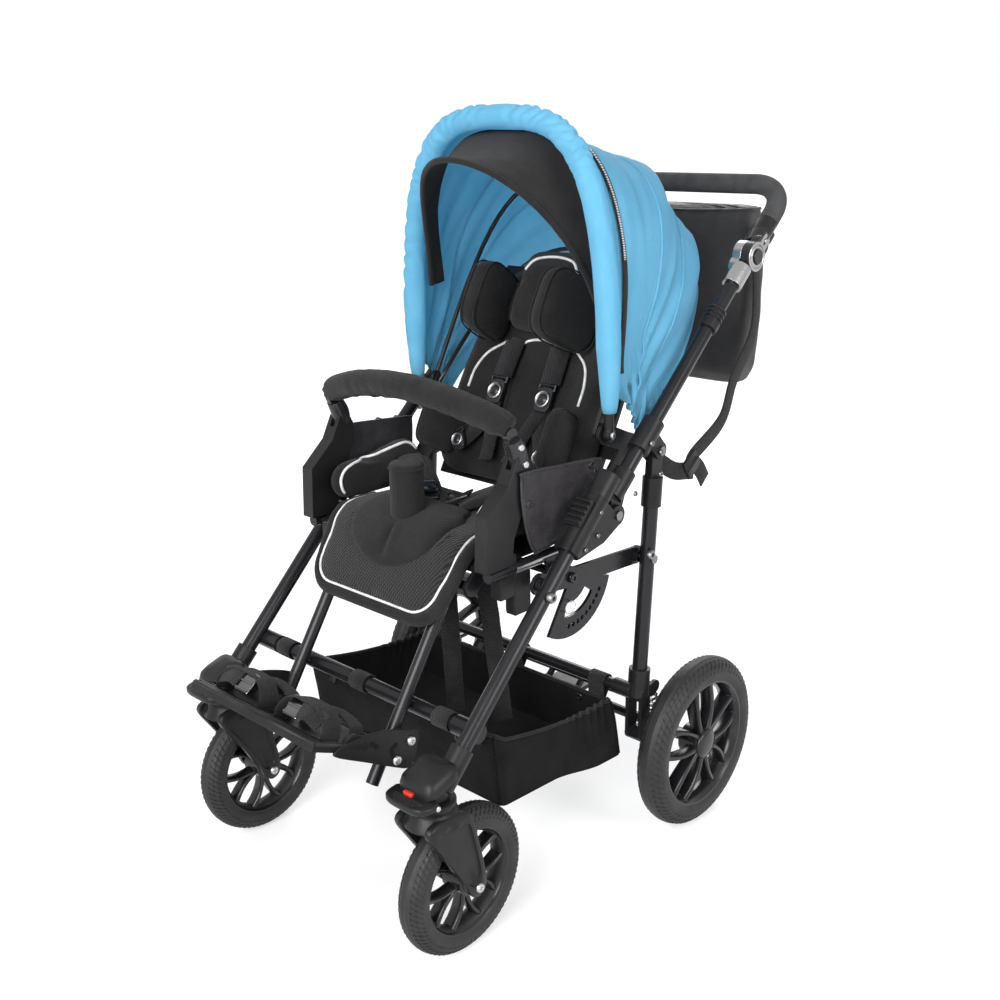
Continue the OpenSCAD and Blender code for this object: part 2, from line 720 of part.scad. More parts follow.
spring_top = [spring_y, spring_z];
spring_low = spring_top + [spring_run, -spring_fall];
seat_d = 28;
seat_t = 6;
spring_dir = atan2(spring_low[1] - spring_top[1], spring_low[0] - spring_top[0]);
bracket_d = 36;
bracket_cheek = 6;
socket_x = 24;
bracket_top_drop = 372;
bracket_low_drop = 420;
module axle_brackets() {
    a = step(leg_pivot, leg_dir, bracket_top_drop);
    b = step(leg_pivot, leg_dir, bracket_low_drop);
    color("#1b1b1d") both_sides() difference() {
        union() {
            rod(side_x, a, b, bracket_d);
            bar_x(rear_bar_p, rear_bar_d + 2 * sleeve_wall, side_x - leg_d / 2 - socket_x, side_x);
            for (s = [-1, 1]) side_plate(
                side_x + s * (arm_half + gap + bracket_cheek / 2) - bracket_cheek / 2,
                side_x + s * (arm_half + gap + bracket_cheek / 2) + bracket_cheek / 2) {
                link(b, swing_p, arm_d);
                link(step(b, 90, bracket_cheek), step(spring_top, spring_dir, -seat_d / 2),
                    seat_d - bracket_cheek);
            }
            rod(side_x, step(spring_top, spring_dir, -seat_t), spring_top, seat_d);
        }
        rod(side_x, step(a, leg_dir, -over), leg_low, leg_d + run_fit);
        bar_x(rear_bar_p, rear_bar_d + run_fit, 0, side_x - leg_d / 2);
        bar_x(swing_p, swing_pin_d + run_fit, 0, frame_w);
    }
    color("#55565a") both_sides() pivot_pin(swing_p, swing_pin_d, arm_half + gap + bracket_cheek);
}
axle_tube_d = 18;
shoulder_d = 22;
module rear_axle() {
    color("#26262a") {
        both_sides() difference() {
            union() {
                side_plate(side_x - arm_half, side_x + arm_half) {
                    link(swing_p, axle_p, arm_d);
                    link((axle_p + swing_p) / 2, spring_low + [0, -seat_d / 2], arm_d);
                }
                rod(side_x, spring_low, step(spring_low, spring_dir, seat_d / 2), seat_d);
            }
            bar_x(swing_p, swing_pin_d + run_fit, 0, frame_w);
        }
        bar_x(axle_p, axle_tube_d, -side_x, side_x);
        both_sides() bar_x(axle_p, shoulder_d, side_x, rear_x - rear_hub_w / 2 - gap);
        both_sides() bar_x(axle_p, axle_d, side_x, rear_x + rear_hub_w / 2 - gap);
    }
}
brake_sleeve_d = 26;
brake_half = 40;
pedal_len = 62;
pedal_t = 8;
brake_rod_d = 10;
brake_rod_back = 24;
brake_rod_up = 20;
brake_rod_p = axle_p + [brake_rod_back, brake_rod_up];
module brake_bar() {
    color("#2a2a2c") difference() {
        union() {
            bar_x(axle_p, brake_sleeve_d, -brake_half, brake_half);
            side_plate(-brake_half, brake_half) translate(axle_p + [0, -pedal_t / 2])
                square([pedal_len, pedal_t]);
            both_sides() side_plate(brake_half - pedal_t, brake_half) link(axle_p, brake_rod_p, brake_rod_d);
            bar_x(brake_rod_p, brake_rod_d, -side_x + arm_half + brake_rod_d,
                side_x - arm_half - brake_rod_d);
            both_sides() side_plate(side_x - arm_half - 2 * brake_rod_d, side_x - arm_half - brake_rod_d) {
                link(axle_p, brake_rod_p, brake_sleeve_d - brake_rod_d);
                translate(axle_p) circle(d = brake_sleeve_d);
            }
        }
        bar_x(axle_p, axle_tube_d + run_fit, -side_x, side_x);
    }
}
// Coil springs: one unbroken wire each, straight at both ends
wire_d = 4;
coil_d = 21;
coils = 5;
coil_rings = 8;
spring_len = norm(spring_low - spring_top) - 2 * gap;
coil_sides = 6;
// Almost upright, so that no part of the wire runs along it
coil_lift = [0, 0.001, 1];
function coil_path(len) = let (n = coils * coil_rings, climb = len - 2 * wire_d, r = coil_d / 2) concat(
    [[r, 0, 0]],
    [for (i = [0:n]) let (a = 360 * i / coil_rings) [r * cos(a), r * sin(a), wire_d + climb * i / n]],
    [[r, 0, len]]);
coil_gap = (spring_len - 2 * wire_d) / coils - wire_d;
echo(least_gap_between_spring_coils = coil_gap);
module suspension_springs() {
    path = coil_path(spring_len);
    color("#c8cacd") both_sides() at(side_x, step(spring_top, spring_dir, gap))
        rotate([spring_dir - 90, 0, 0])
        skin(sweep_rings(path, [for (p = path) wire_d], coil_lift, coil_sides));
}

// Tilt plates: link between rear leg and front tube that carries the seat
quadrant_r = 98;
hole_arc_r = 80;
hole_d = 8;
hole_step = 8;
hole_start = -30;
tilt_shaft_d = 14;
arm_w = 31;
frame_boss_d = 34;
front_link_y = -325;
front_link_z = 516;
front_link = [front_link_y, front_link_z];
spacer_d = 22;
window_in_share = 0.42;
window_out_share = 0.66;
quadrant_angles = [-14, -122];
window_angles = [-36, -104];
wedge_steps = 4;
module wedge(r, angles) {
    polygon([[0, 0], for (i = [0:wedge_steps])
        let (a = angles[0] + (angles[1] - angles[0]) * i / wedge_steps) 2 * r * [cos(a), sin(a)]]);
}
module tilt_plates() {
    color("#222225") both_sides() difference() {
        union() {
            side_plate(plate_in, plate_in + plate_t) {
                link(link_p, tilt_p, arm_w);
                link(front_link, tilt_p, frame_boss_d);
                translate(tilt_p) intersection() {
                    circle(r = quadrant_r);
                    wedge(quadrant_r, quadrant_angles);
                }
            }
            bar_x(link_p, spacer_d, plate_in, side_x - leg_d / 2 - plate_gap);
            bar_x(front_link, spacer_d, plate_in, side_x - front_tube_d / 2 - plate_gap);
        }
        bar_x(link_p, link_bolt_d + run_fit, 0, frame_w);
        bar_x(tilt_p, tilt_shaft_d + run_fit, 0, frame_w);
        side_plate(plate_in - over, plate_in + plate_t + over) translate(tilt_p) {
            for (i = [0:tilt_holes - 1])
                rotate(hole_start - i * hole_step) translate([hole_arc_r, 0]) circle(d = hole_d);
            intersection() {
                difference() {
                    circle(r = quadrant_r * window_out_share);
                    circle(r = quadrant_r * window_in_share);
                }
                wedge(quadrant_r, window_angles);
            }
        }
    }
}

// Seat unit
rail_x = rail_track / 2;
rail_front_y = -404;
rail_rear_y = -168;
pan_t = 5;
pan_inset = 14;
pan_half = rail_x - pan_inset;
hanger_out = 6;
hanger_in = rail_x + hanger_out;
hanger_t = 6;
hinge_bar_d = 14;
ear_out = 38;
ear_in = legrest_track / 2 + ear_out;
ear_t = 7;
lever_y = -345;
lever_z = 521;
lever_p = [lever_y, lever_z];
lever_d = 8;
boss_d = 24;
lug_d = 18;
lug_inset = 28;
lug_x = legrest_track / 2 - lug_inset;
lug_t = 6;
recline_pin_d = 10;
post_inset = 14.5;
post_in = rail_x - post_inset;
post_t = 25;
recline_inset = 6;
recline_in = rail_x - recline_inset;
recline_t = 7;
recline_d = 34;
module seat_frame() {
    color("#242427") difference() {
        union() {
            both_sides() rod(rail_x, [rail_front_y, rail_z], [rail_rear_y, rail_z], rail_d);
            for (y = [rail_front_y + rail_d, rail_rear_y - rail_d])
                bar_x([y, rail_z], rail_d - pan_t, -rail_x, rail_x);
            translate([-pan_half, pan_front_y, rail_z + rail_d / 2 - pan_t])
                cube([2 * pan_half, pan_rear_y - pan_front_y, pan_t]);
            both_sides() side_plate(hanger_in, hanger_in + hanger_t)
                polygon([[tilt_y - 2 * rail_d, rail_z], [tilt_y + 2 * rail_d, rail_z],
                    tilt_p + tilt_shaft_d * [1, -1], tilt_p - tilt_shaft_d * [1, 1]]);
            bar_x(tilt_p, tilt_shaft_d, -plate_in - plate_t - gap, plate_in + plate_t + gap);
            both_sides() bar_x(tilt_p, boss_d, hanger_in, plate_in - gap);
            both_sides() side_plate(ear_in, ear_in + ear_t)
                link(legrest_p, [legrest_y + 2 * hinge_bar_d, rail_z], 2 * hinge_bar_d);
            bar_x(legrest_p, hinge_bar_d, -ear_in - ear_t, ear_in + ear_t);
            both_sides() side_plate(lug_x, lug_x + lug_t) link(lever_p, [lever_p[0], rail_z], lug_d);
            both_sides() side_plate(recline_in, recline_in + recline_t)
                link(recline_p, [recline_y - recline_d / 2, rail_z], recline_d);
        }
        bar_x(lever_p, lever_d + run_fit, -frame_w, frame_w);
        both_sides() bar_x(recline_p, recline_pin_d + run_fit, recline_in - over,
            recline_in + recline_t + over);
    }
}
pin_box = [20, 34, 66];
post_front_y = -415;
post_len = 98;
post_h = 161;
post_foot_z = rail_z + rail_d / 2 + over / 2;
post_shares = [[0, 0], [0.55, 0], [0.6, 0.24], [1, 0.75],
    [0.97, 0.925], [0.7, 1], [0.5, 0.764], [0.04, 0.516]];
post_points = [for (s = post_shares) [post_front_y + s[0] * post_len, post_foot_z + s[1] * post_h]];
bumper_y = -334;
bumper_z = 700;
bumper_p = [bumper_y, bumper_z];
bumper_pin_d = 10;
post_eye_d = 24;
post_slot_t = 11;
post_slot_d = 44;
module armrest_posts() {
    color("#1c1c1e") both_sides() difference() {
        union() {
            side_plate(post_in, post_in + post_t) {
                polygon(post_points);
                translate(bumper_p) circle(d = post_eye_d);
            }
            translate([post_in, post_front_y + pin_box[1], rail_z - rail_d / 2 - pin_box[2] / 2])
                cube(pin_box);
        }
        rod(rail_x, [rail_front_y - rail_d, rail_z], [rail_rear_y, rail_z], rail_d + 2 * run_fit);
        translate([0, pan_front_y - run_fit, rail_z - rail_d]) 
            cube([pan_half + run_fit, frame_w, rail_d + rail_d / 2 + over]);
        bar_x([rail_front_y + rail_d, rail_z], rail_d - pan_t + run_fit, 0, rail_x);
        bar_x(bumper_p, bumper_pin_d + run_fit, 0, frame_w);
        side_plate(post_in + post_t / 2 - post_slot_t / 2, post_in + post_t / 2 + post_slot_t / 2)
            translate(bumper_p) circle(d = post_slot_d);
    }
}
// Bumper bar: two pivot clips and a padded arch
clip_t = post_slot_t - 2 * gap;
clip_d = 22;
bumper_arm = [-16, 44];
bumper_end = bumper_p + bumper_arm;
bumper_bow = 26;
bumper_end_share = 0.8;
bumper_sides = 16;
post_mid = post_in + post_t / 2;
module bumper_ends() {
    color("#2a2b2e") both_sides() {
        side_plate(post_mid - clip_t / 2, post_mid + clip_t / 2) link(bumper_p, bumper_end, clip_d);
        bar_x(bumper_p, bumper_pin_d, post_mid - post_t / 2, post_mid + post_t / 2);
    }
}
bumper_steps = 18;
function bumper_at(s) = let (c = 1 - s * s) [s * post_mid, bumper_end[0] - bumper_bow * c,
    bumper_end[1] + bumper_d / 2 - clip_d / 2 + bumper_rise * c];
module bumper_bar() {
    path = [for (i = [0:bumper_steps]) bumper_at(-1 + 2 * i / bumper_steps)];
    fat = [for (i = [0:bumper_steps]) bumper_d * (i == 0 || i == bumper_steps ? bumper_end_share : 1)];
    color("#232326") difference() {
        skin(sweep_rings(path, fat, [0, 1, 0], bumper_sides));
        both_sides() side_plate(post_mid - clip_t / 2 - gap, post_mid + clip_t / 2 + gap)
            link(bumper_p, bumper_end, clip_d + gap);
    }
}
cushion_lift = rail_z + rail_d / 2 + soft_gap;
cushion_lip = 12;
module seat_cushion() {
    len = pan_rear_y - pan_front_y + cushion_lip;
    color("#2b2b2e") translate([0, pan_rear_y - len / 2, cushion_lift + cushion_t / 2])
        pad(cushion_w, len, cushion_t);
}
pommel_y = -372;
pommel_edge = 5;
pommel_sink = 0.8;
module pommel() {
    color("#262629") translate([0, pommel_y, cushion_lift + cushion_t + soft_gap - pommel_sink]) {
        cylinder(d = pommel_d, h = pommel_h - pommel_edge);
        translate([0, 0, pommel_h - pommel_edge])
            cylinder(d1 = pommel_d, d2 = pommel_d - 2 * pommel_edge, h = pommel_edge);
    }
}
hip_len = 198;
hip_h = 84;
hip_pad_t = post_in - cushion_w / 2 - 2 * soft_gap;
hip_y = -288;
hip_z = 616;
module hip_pads() {
    color("#242427") both_sides() translate([cushion_w / 2 + soft_gap + hip_pad_t / 2, hip_y, hip_z])
        rotate([0, -90, 0]) pad(hip_h, hip_len, hip_pad_t, round_power);
}
panel_in = post_in + post_t + soft_gap;
panel_t = 6;
panel_front_y = -348;
panel_low_z = 556;
panel_len = 188;
panel_h = 136;
panel_shares = [[0.05, 1], [1, 0.875], [1, 0.176], [0.19, 0], [0, 0.324]];
panel_points = [for (s = panel_shares) [panel_front_y + s[0] * panel_len, panel_low_z + s[1] * panel_h]];
module side_panels() {
    color("#2e2e31") both_sides() side_plate(panel_in, panel_in + panel_t) polygon(panel_points);
}
lever_inset = 22;
lever_half = lug_x - lever_inset;
lever_reach = [-71, -41];
lever_tip = lever_p + lever_reach;
module tilt_lever() {
    color("#6b6c70") {
        bar_x(lever_p, lever_d, -lug_x - lug_t - gap, lug_x + lug_t + gap);
        both_sides() rod(lever_half, lever_p, lever_tip, lever_d);
        bar_x(lever_tip, lever_d, -lever_half - lever_d / 2, lever_half + lever_d / 2);
    }
}

// Backrest, in a frame with its origin at the recline pivot and Z up along the back
module back_at() { at(0, recline_p) rotate([back_slope - 90, 0, 0]) children(); }
back_low = -10;
shell_t = 8;
back_front = 8;
plate_x = recline_in + recline_t + gap;
plate_th = 6;
hub_len = 118;
canopy_rel = turn(canopy_p - recline_p, 90 - back_slope);
module back_frame() {
    color("#1f1f22") back_at() {
        translate([-back_w / 2, back_t - back_front, back_low + back_front])
            cube([back_w, shell_t, back_len]);
        both_sides() {
            side_plate(plate_x, plate_x + plate_th) {
                link([0, 0], [back_t - back_front + shell_t / 2, hub_len], recline_d);
                link([back_t - back_front + shell_t / 2, hub_len], canopy_rel, recline_d);
            }
            translate([back_w / 2 - over, back_t - back_front, hub_len - recline_d])
                cube([plate_x - back_w / 2 + over + plate_th / 2, shell_t, recline_d]);
            bar_x([0, 0], recline_pin_d, recline_in, plate_x + plate_th);
            bar_x(canopy_rel, recline_pin_d, rib_half - rib_eye_t / 2, canopy_half + plate_th);
        }
    }
}
module back_cushion() {
    color("#29292c") back_at()
        translate([0, back_t / 2 - back_front - soft_gap, back_low + back_front + back_len / 2])
            rotate([90, 0, 0]) pad(back_w, back_len, back_t);
}
strap_w = 32;
strap_t = 3;
strap_x = 52;
strap_from = 96;
strap_len = 156;
buckle_d = 26;
buckle_t = 6;
trunk_w = 30;
trunk_len = 105;
trunk_out = 84;
trunk_inset = 42;
trunk_x = back_w / 2 - trunk_inset;
trunk_sink = 3.6;
module harness() {
    front = -back_front - 2 * soft_gap;
    color("#1a1a1c") back_at() both_sides() {
        translate([strap_x - strap_w / 2, front - strap_t, strap_from]) cube([strap_w, strap_t, strap_len]);
        translate([strap_x, front - strap_t, strap_from + strap_len / 3]) rotate([90, 0, 0])
            cylinder(d = buckle_d, h = buckle_t);
        translate([trunk_x, front - trunk_out / 2 + trunk_sink, strap_from - strap_w / 2])
            rotate([0, 90, 0]) pad(trunk_len, trunk_out, trunk_w, round_power, wing_sides);
    }
}
head_from = 258;
head_t = 34;
wing_t = 42;
wing_out = 126;
wing_len = 120;
wing_drop = 42;
wing_yaw = 12;
wing_sides = 24;
wing_sink = 10.3;
module headrest() {
    color("#232326") back_at() translate([0, -back_front - 2 * soft_gap, head_from + head_len / 2]) {
        translate([0, -head_t / 2, 0]) rotate([90, 0, 0]) pad(head_w, head_len, head_t, round_power);
        both_sides() translate([head_w / 2 + wing_t / 2 - wing_sink, -wing_out / 2, -wing_drop])
            rotate([0, 0, -wing_yaw])
            rotate([0, 90, 0]) pad(wing_len, wing_out, wing_t, round_power, wing_sides);
    }
}

// Canopy: arches around the canopy pivot, each a rounded arch from side to side.
// An arch starts and ends at low_share of its reach.
arch_power = 0.48;
arch_steps = 26;
rim_low_share = 0.075;
cover_low_share = 0.13;
rib_low_share = 0.05;
visor_low_share = 0.43;
rim_sector = 91.5;
edge_slope = 43.5;
edge_drop = 58;
rib_sector = 62;
cover_rows = 13;
reach_shares = [[27, 0.81], [40, 0.88], [57, 0.925], [75, 0.975], [92, 1]];
sag_share = 0.028;
panel_edges = [27, 44, 62, 92];
rib_d = 8;
rib_eye_t = 6.5;
rib_eye_d = 20;
rib_half = canopy_half - rim_d / 2 - rib_d / 2 - 2 * gap;
rib_sides = 8;
rim_sides = 14;
visor_t = 4;
visor_drop = 50;
visor_in = 14;
function arch_angle(k, low_share) = let (ends = asin(pow(low_share, 1 / arch_power)))
    ends + (180 - 2 * ends) * k;
function arch_at(reach, half, sector, a) = let (r = reach * pow(sin(a), arch_power))
    [half * power(cos(a), arch_power), canopy_y + r * cos(sector), canopy_z + r * sin(sector)];
function arch(reach, half, sector, low_share) = [for (i = [0:arch_steps])
    arch_at(reach, half, sector, arch_angle(i / arch_steps, low_share))];
function panel_of(sector) = sector < panel_edges[1] ? 0 : sector < panel_edges[2] ? 1 : 2;
function sag(sector) = let (i = panel_of(sector))
    1 - sag_share * sin(180 * max(0, sector - panel_edges[i]) / (panel_edges[i + 1] - panel_edges[i]));
function cover_reach(sector) = rim_reach * lookup(sector, reach_shares) * sag(sector);
// Arc from the pivot at which the cloth meets the back of the rim, for one point of the arch
function cover_front(a) = rim_sector
    - asin((rim_d / 2 + 2 * soft_gap) / (rim_reach * pow(sin(a), arch_power)));
// The cloth's back edge runs in a straight line behind the pivot
function cover_back(a) = edge_slope
    - asin(min(1, edge_drop / (rim_reach * reach_shares[0][1] * pow(sin(a), arch_power))));
function all_of(path, d) = [for (p = path) d];
module canopy_rim() {
    path = arch(rim_reach, canopy_half, rim_sector, rim_low_share);
    color("#58aee0") skin(sweep_rings(path, all_of(path, rim_d), [0, 1, 0], rim_sides));
    color("#1c1c1e") both_sides() difference() {
        side_plate(plate_x + plate_th + gap, canopy_half + plate_th)
            link(canopy_p, step(canopy_p, rim_sector, 2 * rim_low_share * rim_reach), rib_eye_d);
        bar_x(canopy_p, recline_pin_d + run_fit, 0, frame_w);
    }
}
module visor() {
    reach = rim_reach - rim_d / 2 - soft_gap;
    half = canopy_half - rim_d / 2 - soft_gap;
    rim_edge = arch(reach, half, rim_sector, visor_low_share);
    free_edge = arch(reach - visor_drop, half - visor_in, rim_sector, visor_low_share);
    n = visor_t / 2 * [0, sin(rim_sector), -cos(rim_sector)];
    color("#1c1c1e") skin([for (i = [0:arch_steps])
        [rim_edge[i] + n, rim_edge[i] - n, free_edge[i] - n, free_edge[i] + n]]);
}
module canopy_rib() {
    reach = cover_reach(rib_sector) * (1 - sag_share) - cloth_t - rib_d / 2 - soft_gap;
    half = rib_half;
    path = arch(reach, half, rib_sector, rib_low_share);
    color("#1c1c1e") {
        skin(sweep_rings(path, all_of(path, rib_d), [0, sin(rib_sector), -cos(rib_sector)], rib_sides));
        both_sides() difference() {
            side_plate(half - rib_eye_t / 2, half + rib_eye_t / 2)
                link(canopy_p, step(canopy_p, rib_sector, 2 * rib_low_share * reach), rib_eye_d);
            bar_x(canopy_p, recline_pin_d + run_fit, 0, frame_w);
        }
    }
}
function cover_line(row, half, t) = [for (i = [0:arch_steps])
    let (a = arch_angle(i / arch_steps, cover_low_share),
        s = cover_back(a) + (cover_front(a) - cover_back(a)) * row / (cover_rows - 1))
    arch_at(cover_reach(s) - t, half, s, a)];
function reversed(l) = [for (i = [len(l) - 1:-1:0]) l[i]];
module canopy_cover() {
    color("#58aee0") sheet_skin([for (row = [0:cover_rows - 1])
        concat(cover_line(row, canopy_half + cloth_t, 0), reversed(cover_line(row, canopy_half, cloth_t)))]);
}

// Legrest, in side view along its tubes
flap_t = 14;
flap_sink = 0.9;
flap_from = 16;
flap_len = 128;
flap_overhang = 11;
flap_w = legrest_track + 2 * flap_overhang;
barrel_d = 24;
barrel_half = 10;
module legrest() {
    low = step(legrest_p, legrest_dir, legrest_len);
    color("#2a2a2d") both_sides() difference() {
        union() {
            rod(legrest_track / 2, legrest_p, low, legrest_d);
            bar_x(legrest_p, barrel_d, legrest_track / 2 - barrel_half, legrest_track / 2 + barrel_half);
        }
        bar_x(legrest_p, hinge_bar_d + run_fit, 0, frame_w);
    }
    color("#2a2a2d") bar_x(foot_p, foot_bar_d, -foot_w / 2 - 2 * gap, foot_w / 2 + 2 * gap);
}
module calf_pad() {
    on_axis = step(legrest_p, legrest_dir, flap_from + flap_len / 2);
    flap_mid = step(on_axis, legrest_dir - 90, legrest_d / 2 + flap_t / 2 + soft_gap - flap_sink);
    color("#303033") at(0, flap_mid) rotate([legrest_dir - 180, 0, 0]) pad(flap_w, flap_len, flap_t);
}
foot_bar_d = 14;
foot_edge = 18;
foot_side = 8;
foot_ribs = 4;
module foot_at() { at(0, foot_p) rotate([foot_dir - 180, 0, 0]) children(); }
module footplate() {
    color("#1d1d1f") foot_at() {
        translate([-foot_w / 2, -foot_front - foot_depth, -foot_t / 2]) cube([foot_w, foot_depth, foot_t]);
        for (i = [0:foot_ribs - 1])
            translate([-foot_w / 2, -foot_front - foot_depth + i * foot_t, foot_t / 2])
            cube([foot_w, foot_t / 2, foot_t / 3]);
        both_sides() difference() {
            side_plate(foot_w / 2 - foot_side, foot_w / 2)
                link([0, 0], [-foot_front - foot_depth / 2, foot_t / 2], 2 * foot_edge);
            bar_x([0, 0], foot_bar_d + run_fit, 0, frame_w);
        }
    }
}
foot_strap_w = 26;
foot_strap_h = 44;
foot_strap_in = 22;
foot_strap_out = 23;
foot_strap_span = foot_w / 2 - foot_strap_in - foot_strap_out;
foot_strap_share = 0.62;
module foot_straps() {
    color("#161617") foot_at() both_sides()
        translate([foot_strap_in, -foot_front - foot_depth * foot_strap_share, foot_t / 2]) difference() {
            cube([foot_strap_span, foot_strap_w, foot_strap_h]);
            translate([strap_t, -over, -over])
                cube([foot_strap_span - 2 * strap_t, foot_strap_w + 2 * over, foot_strap_h - strap_t + over]);
        }
}

// Basket and bag
basket_front_y = -419;
basket_low_z = 164;
basket_len = 296;
basket_h = 133;
basket_shares = [[0, 1], [0.07, 0.09], [1, 0], [1, 0.57]];
basket_points = [for (s = basket_shares)
    [basket_front_y + s[0] * basket_len, basket_low_z + s[1] * basket_h]];
loop_w = 40;
loop_inset = 92;
loop_x = basket_half - loop_inset;
module basket() {
    inner = [for (i = [0:3]) basket_points[i] + basket_t * [i < 2 ? 1 : -1, i == 1 || i == 2 ? 1 : 0]];
    color("#1e1e20") {
        difference() {
            side_plate(-basket_half, basket_half) polygon(basket_points);
            side_plate(-basket_half + basket_t, basket_half - basket_t)
                polygon(concat(inner, [inner[3] + [0, frame_w], inner[0] + [0, frame_w]]));
        }
        both_sides() side_plate(loop_x - loop_w / 2, loop_x + loop_w / 2) difference() {
            union() {
                link(crossbar_p, basket_points[0] + [basket_t / 2, -basket_t], basket_t);
                link(rear_bar_p, basket_points[3] + [-basket_t / 2, -basket_t], basket_t);
                translate(crossbar_p) circle(d = crossbar_d + basket_t);
                translate(rear_bar_p) circle(d = rear_bar_d + basket_t);
            }
            translate(crossbar_p) circle(d = crossbar_d + run_fit);
            translate(rear_bar_p) circle(d = rear_bar_d + run_fit);
        }
    }
}
bag_shares = [[0.66, -0.5], [0.88, -0.46], [0.98, -0.32], [1, -0.1], [1, 0.1], [0.98, 0.32], [0.88, 0.46],
    [0.66, 0.5]];
bag_power = 0.3;
bag_top_z = bar_p[1] - grip_d;
// Webbing from each side of the bag to the inner face of the handle hinge
bag_hang = 34;
function strap_ring(c, t, w, h) = let (a = unit(cross(t, [0, 0, 1])), b = cross(a, t))
    [c + b * w / 2 + a * h / 2, c - b * w / 2 + a * h / 2,
        c - b * w / 2 - a * h / 2, c + b * w / 2 - a * h / 2];
module bag_strap() {
    p = [bag_half + soft_gap, bag_back_y - bag_depth / 2, bag_top_z - bag_hang];
    q = [side_x - hinge_half - gap - strap_t * 2 / 3, hinge_p[0], hinge_p[1]];
    t = unit(q - p);
    skin([strap_ring(p, t, strap_w, strap_t), strap_ring(q, t, strap_w, strap_t)]);
}
module bag() {
    color("#1a1a1c") translate([0, bag_back_y - bag_depth / 2, bag_top_z - bag_h / 2]) rotate([90, 0, 0])
        skin([for (s = bag_shares)
            pad_ring(2 * bag_half, bag_h, s[0], s[1] * bag_depth, bag_power, pad_sides)]);
    color("#141415") both_sides() bag_strap();
}

place() rear_legs();
place() leg_tops();
place() rear_crossbar();
place() axle_brackets();
place() link_bolts();
place() basket();
place() suspension_springs();
place() rear_axle();
place() brake_bar();
place() rear_rim_left();
place() rear_tyre_left();
place() rear_rim_right();
place() rear_tyre_right();
place() upper_tubes();
place() knuckle_uppers();
place() tube_brackets();
place() fold_pins();
place() hinge_lowers();
place() bag();
place() handle_tube();
place() handle_grip();
place() hinge_uppers();
place() hinge_button_left();
place() hinge_button_right();
place() front_tubes();
place() knuckle_lowers();
place() front_crossbar();
place() caster_housings();
place() fold_slider_left();
place() fold_slider_right();
place() fork_left();
place() front_rim_left();
place() front_tyre_left();
place() fork_right();
place() front_rim_right();
place() front_tyre_right();
place() swivel_lock_left();
place() swivel_lock_right();
place() tilt_plates();
place() seat_frame();
place() armrest_posts();
place() seat_cushion();
place() hip_pads();
place() side_panels();
place() tilt_lever();
place() pommel();
place() bumper_ends();
place() bumper_bar();
place() back_frame();
place() back_cushion();
place() harness();
place() headrest();
place() canopy_rim();
place() visor();
place() canopy_rib();
place() canopy_cover();
place() legrest();
place() calf_pad();
place() footplate();
place() foot_straps();
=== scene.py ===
import json
from math import asin, atan2, cos, degrees, pi, radians, sin, sqrt, tau

import bmesh
import bpy
from mathutils import Matrix, Vector, noise
from mathutils.bvhtree import BVHTree

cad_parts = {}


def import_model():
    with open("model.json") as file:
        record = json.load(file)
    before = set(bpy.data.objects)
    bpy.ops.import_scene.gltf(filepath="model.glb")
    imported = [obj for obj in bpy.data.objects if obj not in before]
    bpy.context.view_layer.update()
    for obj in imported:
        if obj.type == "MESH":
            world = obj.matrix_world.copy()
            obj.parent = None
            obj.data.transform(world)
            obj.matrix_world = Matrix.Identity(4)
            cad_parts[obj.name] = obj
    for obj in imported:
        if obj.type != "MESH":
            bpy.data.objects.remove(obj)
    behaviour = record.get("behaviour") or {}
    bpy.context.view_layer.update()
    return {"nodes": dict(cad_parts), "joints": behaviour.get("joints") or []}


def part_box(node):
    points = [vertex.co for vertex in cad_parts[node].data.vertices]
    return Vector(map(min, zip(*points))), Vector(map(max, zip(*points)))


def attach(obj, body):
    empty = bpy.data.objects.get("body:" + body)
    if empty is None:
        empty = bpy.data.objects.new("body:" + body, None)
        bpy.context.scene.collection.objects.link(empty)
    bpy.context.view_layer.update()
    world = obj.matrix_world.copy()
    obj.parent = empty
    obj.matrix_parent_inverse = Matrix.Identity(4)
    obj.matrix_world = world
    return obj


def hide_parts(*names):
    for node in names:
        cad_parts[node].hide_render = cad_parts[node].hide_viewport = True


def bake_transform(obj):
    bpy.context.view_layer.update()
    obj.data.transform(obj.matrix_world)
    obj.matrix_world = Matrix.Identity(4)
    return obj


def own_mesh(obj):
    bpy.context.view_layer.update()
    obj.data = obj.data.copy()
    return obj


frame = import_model()
JOINTS = {joint["name"]: joint for joint in frame["joints"]}
NEAR = 1
FAR = -1


def pivot(name):
    return Vector(JOINTS[name]["pos_m"])


AXLE = pivot("rear_wheel_left")


def side(x, y, z):
    """Point from its place across, its run behind the rear axle and its height."""
    return Vector((x, AXLE.y + y, z))


def sides(s, *points):
    """Points given as for side(), on the near or the far side."""
    return [side(s * x, y, z) for x, y, z in points]


def step(angle, run):
    """Way of a length in the side view."""
    return Vector((0, cos(radians(angle)), sin(radians(angle)))) * run


def signed_power(share, power):
    return (1 if share >= 0 else -1) * abs(share) ** power


def turns(count):
    return [tau * k / count for k in range(count)]


def eased(x):
    """Smooth step from 0 to 1."""
    x = min(1.0, max(0.0, x))
    return x * x * (3 - 2 * x)


# Mesh helpers

def curve(points, steps):
    """Smooth path through the points."""
    points = [Vector(p) for p in points]
    ends = [2 * points[0] - points[1]] + points + [2 * points[-1] - points[-2]]
    path = []
    for i in range(1, len(ends) - 2):
        a, b, c, d = ends[i - 1:i + 3]
        for k in range(steps):
            t = k / steps
            path.append(0.5 * (2 * b + (c - a) * t + (2 * a - 5 * b + 4 * c - d) * t * t
                               + (3 * b - a - 3 * c + d) * t ** 3))
    return path + [points[-1]]


